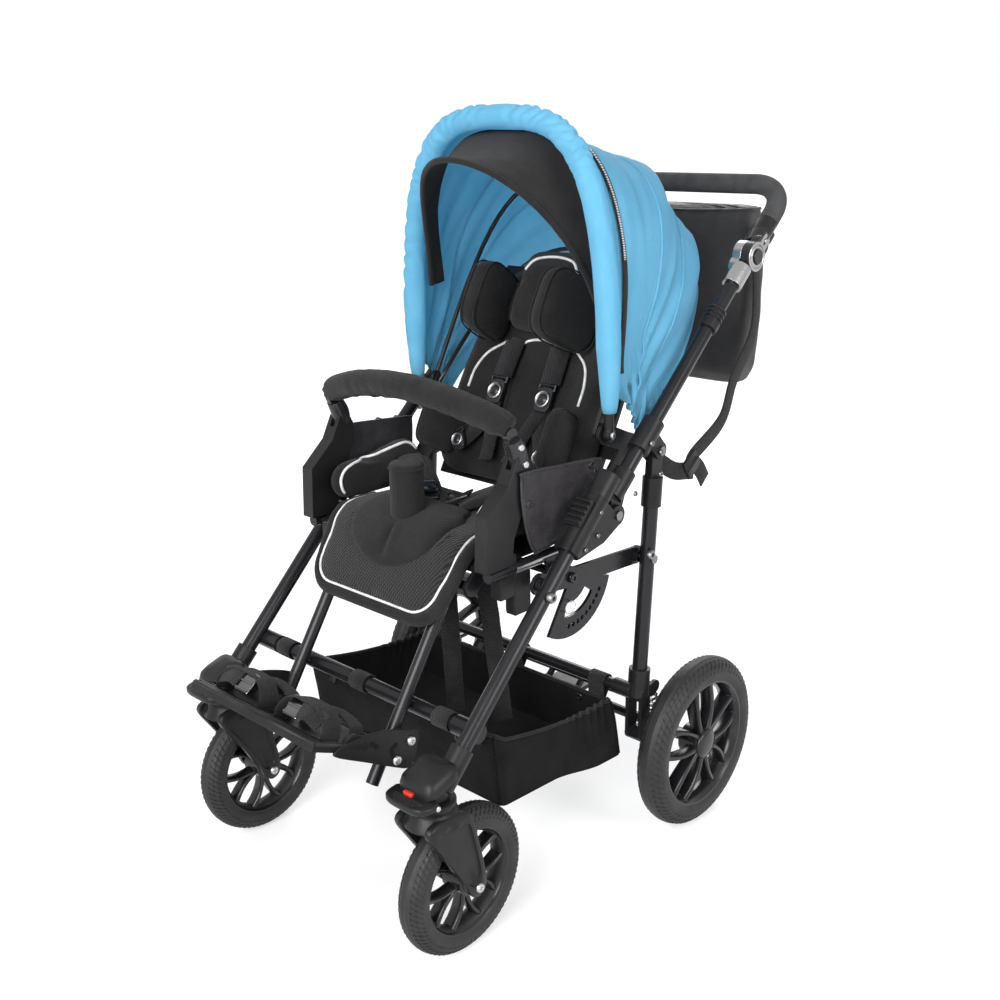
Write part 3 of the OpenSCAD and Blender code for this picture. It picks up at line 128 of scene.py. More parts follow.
def ring_path(points, steps):
    """Smooth closed path through the points."""
    points = [Vector(p) for p in points]
    path = curve(points[-2:] + points + points[:2], steps)
    return path[2 * steps:(2 + len(points)) * steps]


def ring_outline(points, steps):
    """Smooth closed outline through pairs."""
    return [(p.x, p.y) for p in ring_path([Vector((a, b, 0)) for a, b in points], steps)]


def middle_of(outline):
    return sum(p[0] for p in outline) / len(outline), sum(p[1] for p in outline) / len(outline)


def scaled(outline, mid, scale):
    return [(mid[0] + (a - mid[0]) * scale, mid[1] + (b - mid[1]) * scale) for a, b in outline]


def frames_along(path, hint, loop=False):
    """Point, across and up for each point of a path, carried without twist."""
    out = []
    up = Vector(hint)
    count = len(path)
    for i in range(count):
        before = path[(i - 1) % count] if loop else path[max(i - 1, 0)]
        after = path[(i + 1) % count] if loop else path[min(i + 1, count - 1)]
        along = (after - before).normalized()
        up = (up - along * up.dot(along)).normalized()
        out.append((path[i], up.cross(along), up))
    return out


def loft(rings, caps=True, loop=False):
    """Skin over rings that have the same number of points."""
    count = len(rings[0])
    verts = [p for ring in rings for p in ring]
    faces = []
    for i in range(len(rings) if loop else len(rings) - 1):
        j = (i + 1) % len(rings)
        for k in range(count):
            n = (k + 1) % count
            faces.append((i * count + k, i * count + n, j * count + n, j * count + k))
    if caps and not loop:
        faces.append(tuple(range(count - 1, -1, -1)))
        last = (len(rings) - 1) * count
        faces.append(tuple(range(last, last + count)))
    return verts, faces


def grid_faces(columns, rows):
    """Faces of a sheet whose points run across, row by row."""
    faces = []
    for j in range(rows):
        for i in range(columns):
            a = j * (columns + 1) + i
            faces.append((a, a + 1, a + columns + 2, a + columns + 1))
    return faces


def tube(path, radius, corners=12, hint=(0.02, 0.03, 1), loop=False):
    """Round tube along a path; radius is a length or a function of the share run and the angle."""
    rings = []
    count = max(len(path) - 1, 1)
    for i, (point, across, up) in enumerate(frames_along(path, hint, loop)):
        ring = []
        for turn in turns(corners):
            size = radius(i / count, turn) if callable(radius) else radius
            ring.append(point + (across * cos(turn) + up * sin(turn)) * size)
        rings.append(ring)
    return loft(rings, loop=loop)


def strap(path, width, thick, hint, loop=False):
    """Flat webbing along a path; hint is the way its face looks at the start."""
    rings = []
    edge = thick * 0.35
    for point, across, up in frames_along(path, hint, loop):
        corners = []
        for sx, sz, cut in ((1, 1, 0), (1, 1, 1), (-1, 1, 1), (-1, 1, 0),
                            (-1, -1, 0), (-1, -1, 1), (1, -1, 1), (1, -1, 0)):
            dx = sx * (width / 2 - (edge if cut else 0))
            dz = sz * (thick / 2 - (0 if cut else edge))
            corners.append(point + across * dx + up * dz)
        rings.append(corners)
    return loft(rings, loop=loop)


def lathe(profile, base, axis, segments=32, closed=False):
    """Turned form; the profile is (radius, along) pairs from one end to the other."""
    axis = Vector(axis).normalized()
    helper = Vector((0, 0, 1)) if abs(axis.z) < 0.9 else Vector((1, 0, 0))
    a = axis.cross(helper).normalized()
    b = axis.cross(a)
    ways = [a * cos(turn) + b * sin(turn) for turn in turns(segments)]
    rings = [[base + axis * along + way * radius for way in ways] for radius, along in profile]
    return loft(rings, caps=not closed, loop=closed)


def bolt_head(place, axis, size, tall=0.004):
    """Screw head with a socket."""
    profile = ((size, 0), (size, tall * 0.6), (size * 0.8, tall), (size * 0.42, tall),
               (size * 0.36, tall * 0.45), (0.0003, tall * 0.45))
    return lathe(profile, place, axis, 20)


def joined(*parts):
    verts = []
    faces = []
    for part_verts, part_faces in parts:
        base = len(verts)
        verts += part_verts
        faces += [tuple(i + base for i in face) for face in part_faces]
    return verts, faces


def mirrored(part):
    verts, faces = part
    return [Vector((-v.x, v.y, v.z)) for v in verts], [tuple(reversed(f)) for f in faces]


def both(part):
    return joined(part, mirrored(part))


def build(name, part, finish, body=None, sharp=None):
    """Make one object from a part, give it a finish and let it ride on a body."""
    verts, faces = part
    mesh = bpy.data.meshes.new(name)
    mesh.from_pydata([tuple(v) for v in verts], [], faces)
    work = bmesh.new()
    work.from_mesh(mesh)
    bmesh.ops.recalc_face_normals(work, faces=work.faces)
    work.to_mesh(mesh)
    work.free()
    mesh.polygons.foreach_set("use_smooth", [True] * len(mesh.polygons))
    if sharp:
        mesh.set_sharp_from_angle(angle=radians(sharp))
    mesh.materials.append(finish)
    obj = bpy.data.objects.new(name, mesh)
    bpy.context.scene.collection.objects.link(obj)
    if body:
        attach(obj, body)
    return obj


def settle(obj):
    """Replace a mesh by what its modifiers make of it."""
    bpy.context.view_layer.update()
    graph = bpy.context.evaluated_depsgraph_get()
    mesh = bpy.data.meshes.new_from_object(obj.evaluated_get(graph))
    obj.modifiers.clear()
    obj.data = mesh
    return obj


def subdivide(obj, levels=1):
    modifier = obj.modifiers.new("smooth", "SUBSURF")
    modifier.levels = levels
    modifier.render_levels = levels
    return settle(obj)


def thicken(obj, thick):
    modifier = obj.modifiers.new("thick", "SOLIDIFY")
    modifier.thickness = thick
    modifier.offset = 0
    return settle(obj)


# Finishes: all procedural, in object coordinates

def shader_of(made):
    return made.node_tree.nodes["Principled BSDF"]


def set_inputs(node, values):
    for name, value in values.items():
        node.inputs[name].default_value = value


def finish_of(name, colour, rough, metal=0.0):
    made = bpy.data.materials.new(name)
    made.use_nodes = True
    set_inputs(shader_of(made), {"Base Color": (*colour, 1), "Roughness": rough, "Metallic": metal})
    return made


def add(made, kind, settings=None, **inputs):
    """New node; a socket among the inputs is linked and any other value set."""
    made_node = made.node_tree.nodes.new(kind)
    for name, value in (settings or {}).items():
        setattr(made_node, name, value)
    for name, value in inputs.items():
        socket = made_node.inputs[name]
        if isinstance(value, bpy.types.NodeSocket):
            made.node_tree.links.new(value, socket)
        else:
            socket.default_value = value
    return made_node


def shader_in(made, name, output):
    made.node_tree.links.new(output, shader_of(made).inputs[name])


def place_in(made):
    return add(made, "ShaderNodeTexCoord").outputs["Object"]


def bumped(made, height, depth):
    """Add a relief to whatever normal the finish already has."""
    relief = add(made, "ShaderNodeBump", Height=height, Distance=depth, Strength=1.0)
    before = shader_of(made).inputs["Normal"].links
    if before:
        made.node_tree.links.new(before[0].from_socket, relief.inputs["Normal"])
    shader_in(made, "Normal", relief.outputs["Normal"])
    return made


def rounded(made, radius):
    """Round the edges of hard parts in the shading."""
    edge = add(made, "ShaderNodeBevel", {"samples": 6}, Radius=radius)
    shader_in(made, "Normal", edge.outputs["Normal"])
    return made


def spots(made, scale, detail):
    return add(made, "ShaderNodeTexNoise", Vector=place_in(made), Scale=scale, Detail=detail).outputs["Fac"]


def toned(made, fac, dark, light, start=0.0, end=1.0):
    """Run the colour from a dark to a light tone with a value."""
    tones = add(made, "ShaderNodeValToRGB", Fac=fac)
    for element, place, colour in zip(tones.color_ramp.elements, (start, end), (dark, light)):
        element.position = place
        element.color = (*colour, 1)
    shader_in(made, "Base Color", tones.outputs["Color"])
    return made


def spanned(made, value, start, end, low, high):
    """Map a value's range on to another."""
    span = add(made, "ShaderNodeMapRange", Value=value)
    set_inputs(span, {"From Min": start, "From Max": end, "To Min": low, "To Max": high})
    return span.outputs["Result"]


def mottled(made, dark, light, scale):
    """Vary the colour between two close tones."""
    return toned(made, spots(made, scale, 4.0), dark, light, 0.35, 0.65)


def worn(made, low, high, scale):
    """Vary the roughness."""
    shader_in(made, "Roughness", spanned(made, spots(made, scale, 3.0), 0.3, 0.7, low, high))
    return made


def grained(made, scale, depth, detail=2.0):
    return bumped(made, spots(made, scale, detail), depth)


def woven(made, period, depth, slant=0.0):
    """Thread relief from three crossing waves."""
    turned = add(made, "ShaderNodeMapping", Vector=place_in(made), Rotation=(slant, slant, slant))
    total = None
    for direction in ("X", "Y", "Z"):
        wave = add(made, "ShaderNodeTexWave", {"bands_direction": direction},
                   Vector=turned.outputs["Vector"], Scale=pi / (10 * period), Distortion=0.4).outputs["Fac"]
        if total:
            summed = add(made, "ShaderNodeMath", {"operation": "ADD"})
            made.node_tree.links.new(total, summed.inputs[0])
            made.node_tree.links.new(wave, summed.inputs[1])
            wave = summed.outputs[0]
        total = wave
    return bumped(made, total, depth)


def dulled(made, level):
    """Weaken the mirror-like part of the shine."""
    set_inputs(shader_of(made), {"Specular IOR Level": level})
    return made


def let_through(made, colour, share):
    """Let part of the light pass through thin cloth."""
    tree = made.node_tree
    thin = add(made, "ShaderNodeBsdfTranslucent", Color=(*colour, 1))
    mix = add(made, "ShaderNodeMixShader", Fac=share)
    tree.links.new(shader_of(made).outputs[0], mix.inputs[1])
    tree.links.new(thin.outputs[0], mix.inputs[2])
    tree.links.new(mix.outputs[0], tree.nodes["Material Output"].inputs["Surface"])
    return made


def sheened(made, weight, rough=0.5):
    set_inputs(shader_of(made), {"Sheen Weight": weight, "Sheen Roughness": rough})
    return made


def hard(name, colour, rough, tones, scale, edge=0, shine=None, wear=None, grain=None):
    """Paint, plastic or rubber: two tones, rounded edges, weaker shine, wear and grain."""
    made = finish_of(name, colour, rough)
    if edge:
        rounded(made, edge)
    mottled(made, *tones, scale)
    if shine:
        dulled(made, shine)
    if wear:
        worn(made, *wear)
    return grained(made, *grain) if grain else made


def bright_steel(name, tone, rough, edge=0.0005):
    made = rounded(finish_of(name, (tone, tone, tone * 1.01), rough, 1.0), edge)
    worn(made, rough * 0.8, rough * 1.3, 60)
    return grained(made, 600, 0.00004)


def cloth(name, dark, light, rough, period, depth, sheen):
    made = dulled(finish_of(name, light, rough), 0.12)
    mottled(made, dark, light, 22)
    sheened(made, sheen)
    grained(made, 16, 0.004, 2.0)
    return woven(made, period, depth)


def ribbed_mesh():
    made = dulled(finish_of("ribbed mesh cloth", (0.026, 0.024, 0.024), 0.85), 0.12)
    turned = add(made, "ShaderNodeMapping", Vector=place_in(made), Rotation=(0, 0, radians(40)))
    wave = add(made, "ShaderNodeTexWave", {"bands_direction": "X"}, Vector=turned.outputs["Vector"],
               Scale=pi / (10 * 0.0042), Distortion=1.2, Detail=1.0)
    # The ribs' grooves are painted darker and their crests a little lighter, following the same wave as the
    # relief: painted shade and highlight.
    toned(made, wave.outputs["Fac"], (0.009, 0.0084, 0.0086), (0.029, 0.0266, 0.027))
    sheened(made, 0.15)
    bumped(made, wave.outputs["Fac"], 0.0006)
    return woven(made, 0.0021, 0.0003, 0.6)


def leatherette():
    made = dulled(finish_of("coated cloth", (0.022, 0.020, 0.023), 0.5), 0.25)
    mottled(made, (0.018, 0.0165, 0.019), (0.030, 0.027, 0.031), 30)
    worn(made, 0.42, 0.6, 40)
    cells = add(made, "ShaderNodeTexVoronoi", Vector=place_in(made), Scale=420.0)
    bumped(made, cells.outputs["Distance"], 0.0006)
    return grained(made, 26, 0.004)


def webbing():
    made = dulled(finish_of("webbing", (0.011, 0.011, 0.012), 0.72), 0.15)
    mottled(made, (0.009, 0.009, 0.010), (0.016, 0.016, 0.017), 60)
    sheened(made, 0.08)
    return woven(made, 0.0022, 0.0006, 0.4)


def zip_teeth():
    made = finish_of("zip", (0.02, 0.02, 0.022), 0.5)
    wave = add(made, "ShaderNodeTexWave", {"bands_direction": "Z"}, Vector=place_in(made),
               Scale=pi / (10 * 0.0035))
    toned(made, wave.outputs["Fac"], (0.05, 0.05, 0.055), (0.62, 0.64, 0.66))
    return bumped(made, wave.outputs["Fac"], 0.0008)


PAINT = hard("satin black paint", (0.010, 0.010, 0.0118), 0.26,
             ((0.008, 0.008, 0.0096), (0.012, 0.012, 0.0138)), 9,
             edge=0.001, shine=0.24, wear=(0.20, 0.28, 30), grain=(1400, 0.00006))
PLASTIC = hard("moulded black plastic", (0.010, 0.0098, 0.0106), 0.42,
               ((0.008, 0.0078, 0.0086), (0.013, 0.0128, 0.0136)), 14,
               edge=0.0016, shine=0.19, wear=(0.28, 0.40, 24), grain=(900, 0.0002))
GLOSS = hard("gloss black plastic", (0.011, 0.011, 0.0125), 0.2,
             ((0.009, 0.009, 0.010), (0.015, 0.015, 0.0165)), 12,
             edge=0.0014, shine=0.35, wear=(0.16, 0.28, 18))
RIM = hard("rim lacquer", (0.022, 0.022, 0.024), 0.2,
           ((0.018, 0.018, 0.0195), (0.028, 0.028, 0.030)), 16, edge=0.0012, wear=(0.16, 0.26, 22))
RUBBER = hard("tyre rubber", (0.016, 0.0157, 0.0155), 0.46,
              ((0.013, 0.0128, 0.0126), (0.021, 0.0206, 0.0202)), 26,
              shine=0.3, wear=(0.44, 0.58, 20), grain=(420, 0.0005))
FOAM = hard("grip foam", (0.035, 0.035, 0.036), 0.9, ((0.028, 0.028, 0.029), (0.046, 0.046, 0.047)),
            40, grain=(900, 0.0008, 4.0))
PIPING = hard("reflective piping", (0.62, 0.62, 0.61), 0.4, ((0.52, 0.52, 0.51), (0.70, 0.70, 0.69)),
              80, grain=(500, 0.0003))
RED = hard("red button", (0.62, 0.03, 0.015), 0.3, ((0.55, 0.025, 0.012), (0.68, 0.035, 0.02)), 50)
STEEL = bright_steel("steel", 0.5, 0.32)
CHROME = bright_steel("chrome", 0.72, 0.12, 0.0003)
ALLOY = bright_steel("polished alloy", 0.36, 0.24, 0.0014)
CHROME_DARK = bright_steel("dark chrome", 0.16, 0.18)
DARK_STEEL = bright_steel("dark steel", 0.2, 0.34)
BLACK_CLOTH = cloth("black cloth", (0.011, 0.0104, 0.0104), (0.017, 0.0158, 0.0158),
                    0.85, 0.0016, 0.0003, 0.08)
LINING = cloth("dark lining", (0.006, 0.0058, 0.006), (0.010, 0.0096, 0.010), 0.9, 0.0018, 0.0003, 0.02)
NYLON = dulled(cloth("bag nylon", (0.015, 0.0145, 0.0155), (0.024, 0.023, 0.025),
                     0.48, 0.0014, 0.00025, 0.12), 0.3)
SKY = (0.185, 0.505, 0.70)
SKY_LIGHT = (0.33, 0.71, 0.92)
BLUE_CLOTH = let_through(cloth("blue cloth", (0.16, 0.47, 0.66), SKY, 0.7, 0.0013, 0.00025, 0.1),
                         SKY_LIGHT, 0.36)
MESH_CLOTH = ribbed_mesh()
COATED = leatherette()
WEBBING = webbing()
ZIP = zip_teeth()

NODE_FINISHES = (
    (PAINT, "rear_legs rear_crossbar rear_axle upper_tubes handle_tube front_tubes front_crossbar "
            "tilt_plates seat_frame tilt_lever legrest"),
    (PLASTIC, "leg_tops axle_brackets brake_bar knuckle_uppers tube_brackets knuckle_lowers caster_housings "
              "fold_slider_left fold_slider_right fork_left fork_right swivel_lock_left swivel_lock_right "
              "armrest_posts back_frame footplate"),
    (DARK_STEEL, "link_bolts fold_pins"),
    (CHROME, "suspension_springs"),
    (ALLOY, "hinge_lowers"),
    (FOAM, "handle_grip"),
    (GLOSS, "hinge_uppers hinge_button_left hinge_button_right bumper_ends canopy_rib"),
    (RIM, "rear_rim_left rear_rim_right front_rim_left front_rim_right"),
    (RUBBER, "rear_tyre_left rear_tyre_right front_tyre_left front_tyre_right"),
    (BLUE_CLOTH, "canopy_rim canopy_cover"),
    (BLACK_CLOTH, "visor headrest back_cushion hip_pads pommel bumper_bar"),
    (WEBBING, "harness foot_straps"),
    (MESH_CLOTH, "seat_cushion calf_pad"),
    (COATED, "side_panels"),
    (LINING, "basket"),
    (NYLON, "bag"),
)


def finish_nodes():
    for finish, names in NODE_FINISHES:
        for name in names.split():
            node = frame["nodes"][name]
            node.data.materials.clear()
            node.data.materials.append(finish)


# Canopy: arches around the canopy pivot

ARCH_POWER = 0.6
RIM_SECTOR = 91.5
RIM_REACH = 0.472
RIM_RADIUS = 0.019
CANOPY_HALF = 0.217
CANOPY_HUB = pivot("canopy_fold")
REACH_SHARES = ((27, 0.87), (40, 0.94), (57, 0.955), (75, 0.98), (92, 1.0))
PANEL_EDGES = (27, 44, 62, 92)
COVER_EDGE_SLOPE = 43.5
COVER_EDGE_DROP = 0.058
COVER_SAG = 0.046
COVER_BULGE = 0.018
INNER_TURN = 0.4
PUCKER_DEPTH = 0.0058
PUCKER_RATE = 250
RIM_SWELL = 0.0016
COVER_LOW = 0.13
COVER_THICK = 0.002
COVER_FOLD = 0.020
COVER_CREASE = 0.013
COVER_LIFT = 0.004
SEAM_LIFT = 0.0012
SEAM_ROWS = (0.0, 0.36, 0.62)
RIM_EYE = ((0.006, 0), (0.0105, 0.001), (0.0115, 0.004), (0.0105, 0.010), (0.006, 0.012))
RIM_BOLT = ((0.0055, 0), (0.0055, 0.003), (0.004, 0.0045), (0.0005, 0.0048))


def looked_up(table, x):
    if x <= table[0][0]:
        return table[0][1]
    for (x0, y0), (x1, y1) in zip(table, table[1:]):
        if x <= x1:
            return y0 + (y1 - y0) * (x - x0) / (x1 - x0)
    return table[-1][1]


def arch_angle(share, low_share):
    ends = asin(low_share ** (1 / ARCH_POWER))
    return ends + (pi - 2 * ends) * share


def arch_point(reach, half, sector, angle):
    across = half * signed_power(cos(angle), ARCH_POWER)
    return CANOPY_HUB + Vector((across, 0, 0)) + step(sector, reach * sin(angle) ** ARCH_POWER)


def arch(reach, half, sector, low_share, steps):
    return [arch_point(reach, half, sector, arch_angle(i / steps, low_share)) for i in range(steps + 1)]


def cover_reach(sector):
    sag = 0
    for low, high in zip(PANEL_EDGES, PANEL_EDGES[1:]):
        if low <= sector < high:
            sag = COVER_SAG * sin(pi * (sector - low) / (high - low)) ** 0.8
    return RIM_REACH * looked_up(REACH_SHARES, sector) * (1 - sag)


def canopy_rim():
    def puffed(share, turn):
        shift = 6.0 * noise.noise(Vector((share * 18, 0, turn * 0.6)))
        gather = (0.5 + 0.5 * sin(PUCKER_RATE * share + 2.2 * turn + shift)) ** 2
        drawn = 0.35 + 0.65 * abs(noise.noise(Vector((share * 22, 4, 1)))) ** 0.5
        inner = (0.5 + 0.5 * cos(turn + INNER_TURN)) ** 0.8 * eased((share - 0.20) / 0.14)
        ends = min(1, 28 * share, 28 * (1 - share))
        swell = RIM_SWELL * noise.noise(Vector((share * 24, turn * 1.2, 3)))
        return RIM_RADIUS * (0.55 + 0.45 * ends ** 0.5) - PUCKER_DEPTH * inner * gather * drawn + swell
    path = arch(RIM_REACH, CANOPY_HALF - 0.002, RIM_SECTOR, 0.075, 420)
    rim = build("rim_roll", tube(path, puffed, 32, (0, 1, 0)), BLUE_CLOTH, "canopy_rim")
    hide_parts("canopy_rim")
    for s in (NEAR, FAR):
        hub = CANOPY_HUB + Vector((s * (CANOPY_HALF - 0.008), 0, 0))
        start = hub + Vector((s * 0.005, 0, 0))
        arm = tube([start, start + step(RIM_SECTOR, 0.05)], 0.008, 14)
        eye = lathe(RIM_EYE, hub, (s, 0, 0), 28)
        build(f"rim_hub_{s + 1}", joined(eye, arm), PLASTIC, "canopy_rim", 40)
        bolt = lathe(RIM_BOLT, hub + Vector((s * 0.011, 0, 0)), (s, 0, 0), 20)
        build(f"rim_bolt_{s + 1}", bolt, STEEL, "canopy_rim", 40)


def cover_front(angle):
    return RIM_SECTOR - degrees(asin(min(1, 0.0185 / (RIM_REACH * sin(angle) ** ARCH_POWER))))


def cover_back(angle):
    reach = RIM_REACH * REACH_SHARES[0][1] * sin(angle) ** ARCH_POWER
    return COVER_EDGE_SLOPE - degrees(asin(min(1, COVER_EDGE_DROP / reach)))


def cover_point(angle, row, lift=0.0):
    """Point of the cloth; row runs from the back edge to the rim."""
    back = cover_back(angle)
    sector = back + (cover_front(angle) - back) * row
    low = 1 - sin(angle) ** ARCH_POWER
    fold = noise.noise(Vector((sector * 0.10, angle * 1.3, 2.5)))
    crease = 1 - 2 * abs(noise.noise(Vector((sector * 0.16, angle * 0.8, 7.5))))
    pinch = COVER_FOLD * fold * (0.25 + low) + COVER_CREASE * (crease - 0.5) * (0.3 + low)
    edge = min(1, 9 * (1 - row))
    reach = cover_reach(sector) + (pinch + COVER_LIFT) * edge + lift
    bulge = COVER_BULGE * sin(pi * row) ** 0.7 * eased((0.72 - low) / 0.4)
    half = CANOPY_HALF + (COVER_LIFT + 0.5 * pinch + bulge) * edge + lift
    return arch_point(reach, half, sector, angle)


def canopy_cover():
    columns, rows = 120, 46
    verts = []
    for j in range(rows + 1):
        for i in range(columns + 1):
            verts.append(cover_point(arch_angle(i / columns, COVER_LOW), j / rows))
    cover = build("canopy_cloth", (verts, grid_faces(columns, rows)), BLUE_CLOTH)
    thicken(cover, COVER_THICK)
    made = [cover]
    for k, row in enumerate(SEAM_ROWS):
        path = [cover_point(arch_angle(i / 90, COVER_LOW + 0.02), row, SEAM_LIFT) for i in range(91)]
        seam = tube(path, 0.0021 if k else 0.0032, 8, (0, 1, 0))
        made.append(build(f"canopy_seam_{k}", seam, BLUE_CLOTH))
    zip_path = [cover_point(arch_angle(0.015 + 0.33 * i / 60, COVER_LOW), 0.93, 0.0022) for i in range(61)]
    made.append(build("zip_tape", strap(zip_path, 0.012, 0.0016, (1, 0, 0)), WEBBING))
    teeth = [p + Vector((0.001, 0, 0)) for p in zip_path[20:]]
    made.append(build("zip_teeth", strap(teeth, 0.0045, 0.002, (1, 0, 0)), ZIP))
    rear = cover_point(pi / 2, 0.08)
    front = cover_point(pi / 2, 0.97)
    for obj in made:
        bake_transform(obj)
    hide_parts("canopy_cover")


def inner_hoop():
    """Second hoop inside the cover, behind the headrest."""
    path = arch(0.345, CANOPY_HALF - 0.03, 47, 0.06, 60)
    build("rear_hoop", tube(path, 0.004, 10, (0, 1, 0)), GLOSS, "canopy_rib")


VISOR_POWER = 0.97
VISOR_REACH = 0.430
VISOR_HALF = 0.203
VISOR_SECTORS = (71.6, 107.0)
VISOR_LOW = radians(27)
VISOR_THICK = 0.003
VISOR_HEM = 0.0048
VISOR_BOW = 0.010
VISOR_RIPPLE = 0.0022


def visor_edge(angle):
    """Free edge of the peak: further forward the higher it stands."""
    across = VISOR_HALF * signed_power(cos(angle), VISOR_POWER)
    share = sin(angle) ** VISOR_POWER
    sector = VISOR_SECTORS[0] + (VISOR_SECTORS[1] - VISOR_SECTORS[0]) * share
    return CANOPY_HUB + Vector((across, 0, 0)) + step(sector, VISOR_REACH * share)


def visor():
    steps, across = 96, 14
    rows = [[] for _ in range(across + 1)]
    for i in range(steps + 1):
        angle = VISOR_LOW + (pi - 2 * VISOR_LOW) * i / steps
        free = visor_edge(angle)
        inside = arch_point(RIM_REACH - RIM_RADIUS, CANOPY_HALF - RIM_RADIUS - 0.002, RIM_SECTOR - 3, angle)
        close = eased(1 - min(i, steps - i) / (0.16 * steps))
        rear = inside.lerp(free + Vector((0, 0.030, 0.004)), close)
        bulge = (free - rear).cross(Vector((1, 0, 0))).normalized()
        for j in range(across + 1):
            share = j / across
            ripple = VISOR_RIPPLE * noise.noise(Vector((i * 0.13, share * 2.4, 5)))
            bow = (VISOR_BOW * (1 - close) + ripple) * sin(pi * share)
            rows[j].append(rear.lerp(free, share) - bulge * bow)
    verts = [p for line in rows for p in line]
    band = build("visor_peak", (verts, grid_faces(steps, across)), BLACK_CLOTH)
    thicken(band, VISOR_THICK)
    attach(band, "canopy_rim")
    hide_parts("visor")
    edge = build("visor_edge", tube(rows[-1], VISOR_HEM, 12, (0, 1, 0)), BLACK_CLOTH, "canopy_rim")


# Padded pieces

def pad_outline(width, length, power, count):
    """Rounded outline with sides that draw in between the corners."""
    out = []
    for turn in turns(count):
        out.append((signed_power(cos(turn), power) * width / 2, signed_power(sin(turn), power) * length / 2))
    return out


DOME = ((0.30, 0.99), (0.55, 0.95), (0.75, 0.84), (0.88, 0.66), (0.955, 0.44), (0.99, 0.2), (1.0, 0.0))


def pad_part(outline, thick, place, crown=1.0, back=1.0, dome=DOME):
    """Stuffed form over an outline; place maps (across, along, out) to a point."""
    mid = middle_of(outline)
    levels = [(scale, thick / 2 * height * crown) for scale, height in dome]
    levels += [(scale, -thick / 2 * height * back) for scale, height in reversed(dome[:-1])]
    return loft([[place(a, b, out) for a, b in scaled(outline, mid, scale)] for scale, out in levels])


PIPING_RADIUS = 0.0024
FINE_SEAM = 0.0016
STRAP_THICK = 0.003
SWELL_FRAMES = 20
SWELL_PRESSURE = 4.0


def puff(obj, cell, reach):
    """Let the cover swell over its filling, by a short cloth run that is then applied."""
    scene = bpy.context.scene
    work = obj.copy()
    work.data = obj.data.copy()
    scene.collection.objects.link(work)
    work.parent = None
    work.matrix_world = Matrix.Identity(4)
    remesh = work.modifiers.new("even", "REMESH")
    remesh.mode = "VOXEL"
    remesh.voxel_size = cell
    settle(work)
    rest = [v.co.copy() for v in work.data.vertices]
    swell = work.modifiers.new("swell", "CLOTH")
    swell.settings.quality = 4
    swell.settings.use_pressure = True
    swell.settings.uniform_pressure_force = SWELL_PRESSURE
    swell.settings.tension_stiffness = 20
    swell.settings.bending_stiffness = 1.0
    swell.settings.effector_weights.gravity = 0
    swell.point_cache.frame_start = 1
    swell.point_cache.frame_end = SWELL_FRAMES
    for number in range(1, SWELL_FRAMES + 1):
        scene.frame_set(number)
    settle(work)
    scene.frame_set(1)
    for vert, start in zip(work.data.vertices, rest):
        move = vert.co - start
        if move.length > reach:
            vert.co = start + move.normalized() * reach
    subdivide(work)
    finish = obj.data.materials[0]
    obj.data = work.data
    obj.data.materials.clear()
    obj.data.materials.append(finish)
    obj.data.polygons.foreach_set("use_smooth", [True] * len(obj.data.polygons))
    bpy.data.objects.remove(work)
    return obj


def laid_on(obj, points, ways, lift=0.0008):
    """Points moved along their ways on to the face of a pad."""
    faces = [p.vertices[:] for p in obj.data.polygons]
    tree = BVHTree.FromPolygons([v.co for v in obj.data.vertices], faces)
    reach = 0.06
    out = []
    for point, way in zip(points, ways):
        spot = tree.ray_cast(point + way * reach, -way, 2 * reach)[0]
        out.append((spot or point) + way * lift)
    return out


def bent_place(path):
    """Map (across, run, out) on to a path in the side view; run starts at the path's start."""
    lengths = [0.0]
    for a, b in zip(path, path[1:]):
        lengths.append(lengths[-1] + (b - a).length)

    def place(across, run, out):
        i = 0
        while i < len(path) - 2 and lengths[i + 1] < run:
            i += 1
        t = (run - lengths[i]) / (lengths[i + 1] - lengths[i])
        point = path[i].lerp(path[i + 1], t)
        before = path[max(i - 1, 0)]
        after = path[min(i + 2, len(path) - 1)]
        along = (after - before).normalized()
        normal = Vector((0, along.z, -along.y))
        return point + Vector((across, 0, 0)) + normal * out
    return place, lengths[-1]


FLAP_PATH = curve(sides(1, (0, -0.200, 0.565), (0, -0.300, 0.568), (0, -0.366, 0.568), (0, -0.392, 0.556),
                        (0, -0.412, 0.528), (0, -0.436, 0.492), (0, -0.4555, 0.462)), 8)
FLAP_HALVES = ((0.0, 0.148), (0.12, 0.148), (0.19, 0.150), (0.24, 0.145), (0.30, 0.136), (1.0, 0.131))
FLAP_CORNER = 0.045
SEAT_THICK = 0.032
SEAT_BORDER = 0.0105
SEAT_DOME = ((0.2, 1.0), (0.45, 0.99), (0.7, 0.95), (0.86, 0.86), (0.94, 0.72), (0.98, 0.5), (1.0, 0.0))


def flap_outline(length, inset=0.0):
    """Cloth outline over the seat and down its front: half widths by run, with round corners."""
    low = length - inset
    corner = FLAP_CORNER - inset * 0.5
    runs = [inset + (low - corner - inset) * i / 26 for i in range(27)]
    right = [(looked_up(FLAP_HALVES, r) - inset, r) for r in runs]
    last = right[-1][0]
    for turn in [radians(9 * k) for k in range(1, 11)]:
        right.append((last - corner * (1 - cos(turn)), low - corner + corner * sin(turn)))
    wide = right[0][0]
    across = [(-wide + 2 * wide * i / 12, inset) for i in range(1, 12)]
    return right + [(-x, r) for x, r in reversed(right)] + across


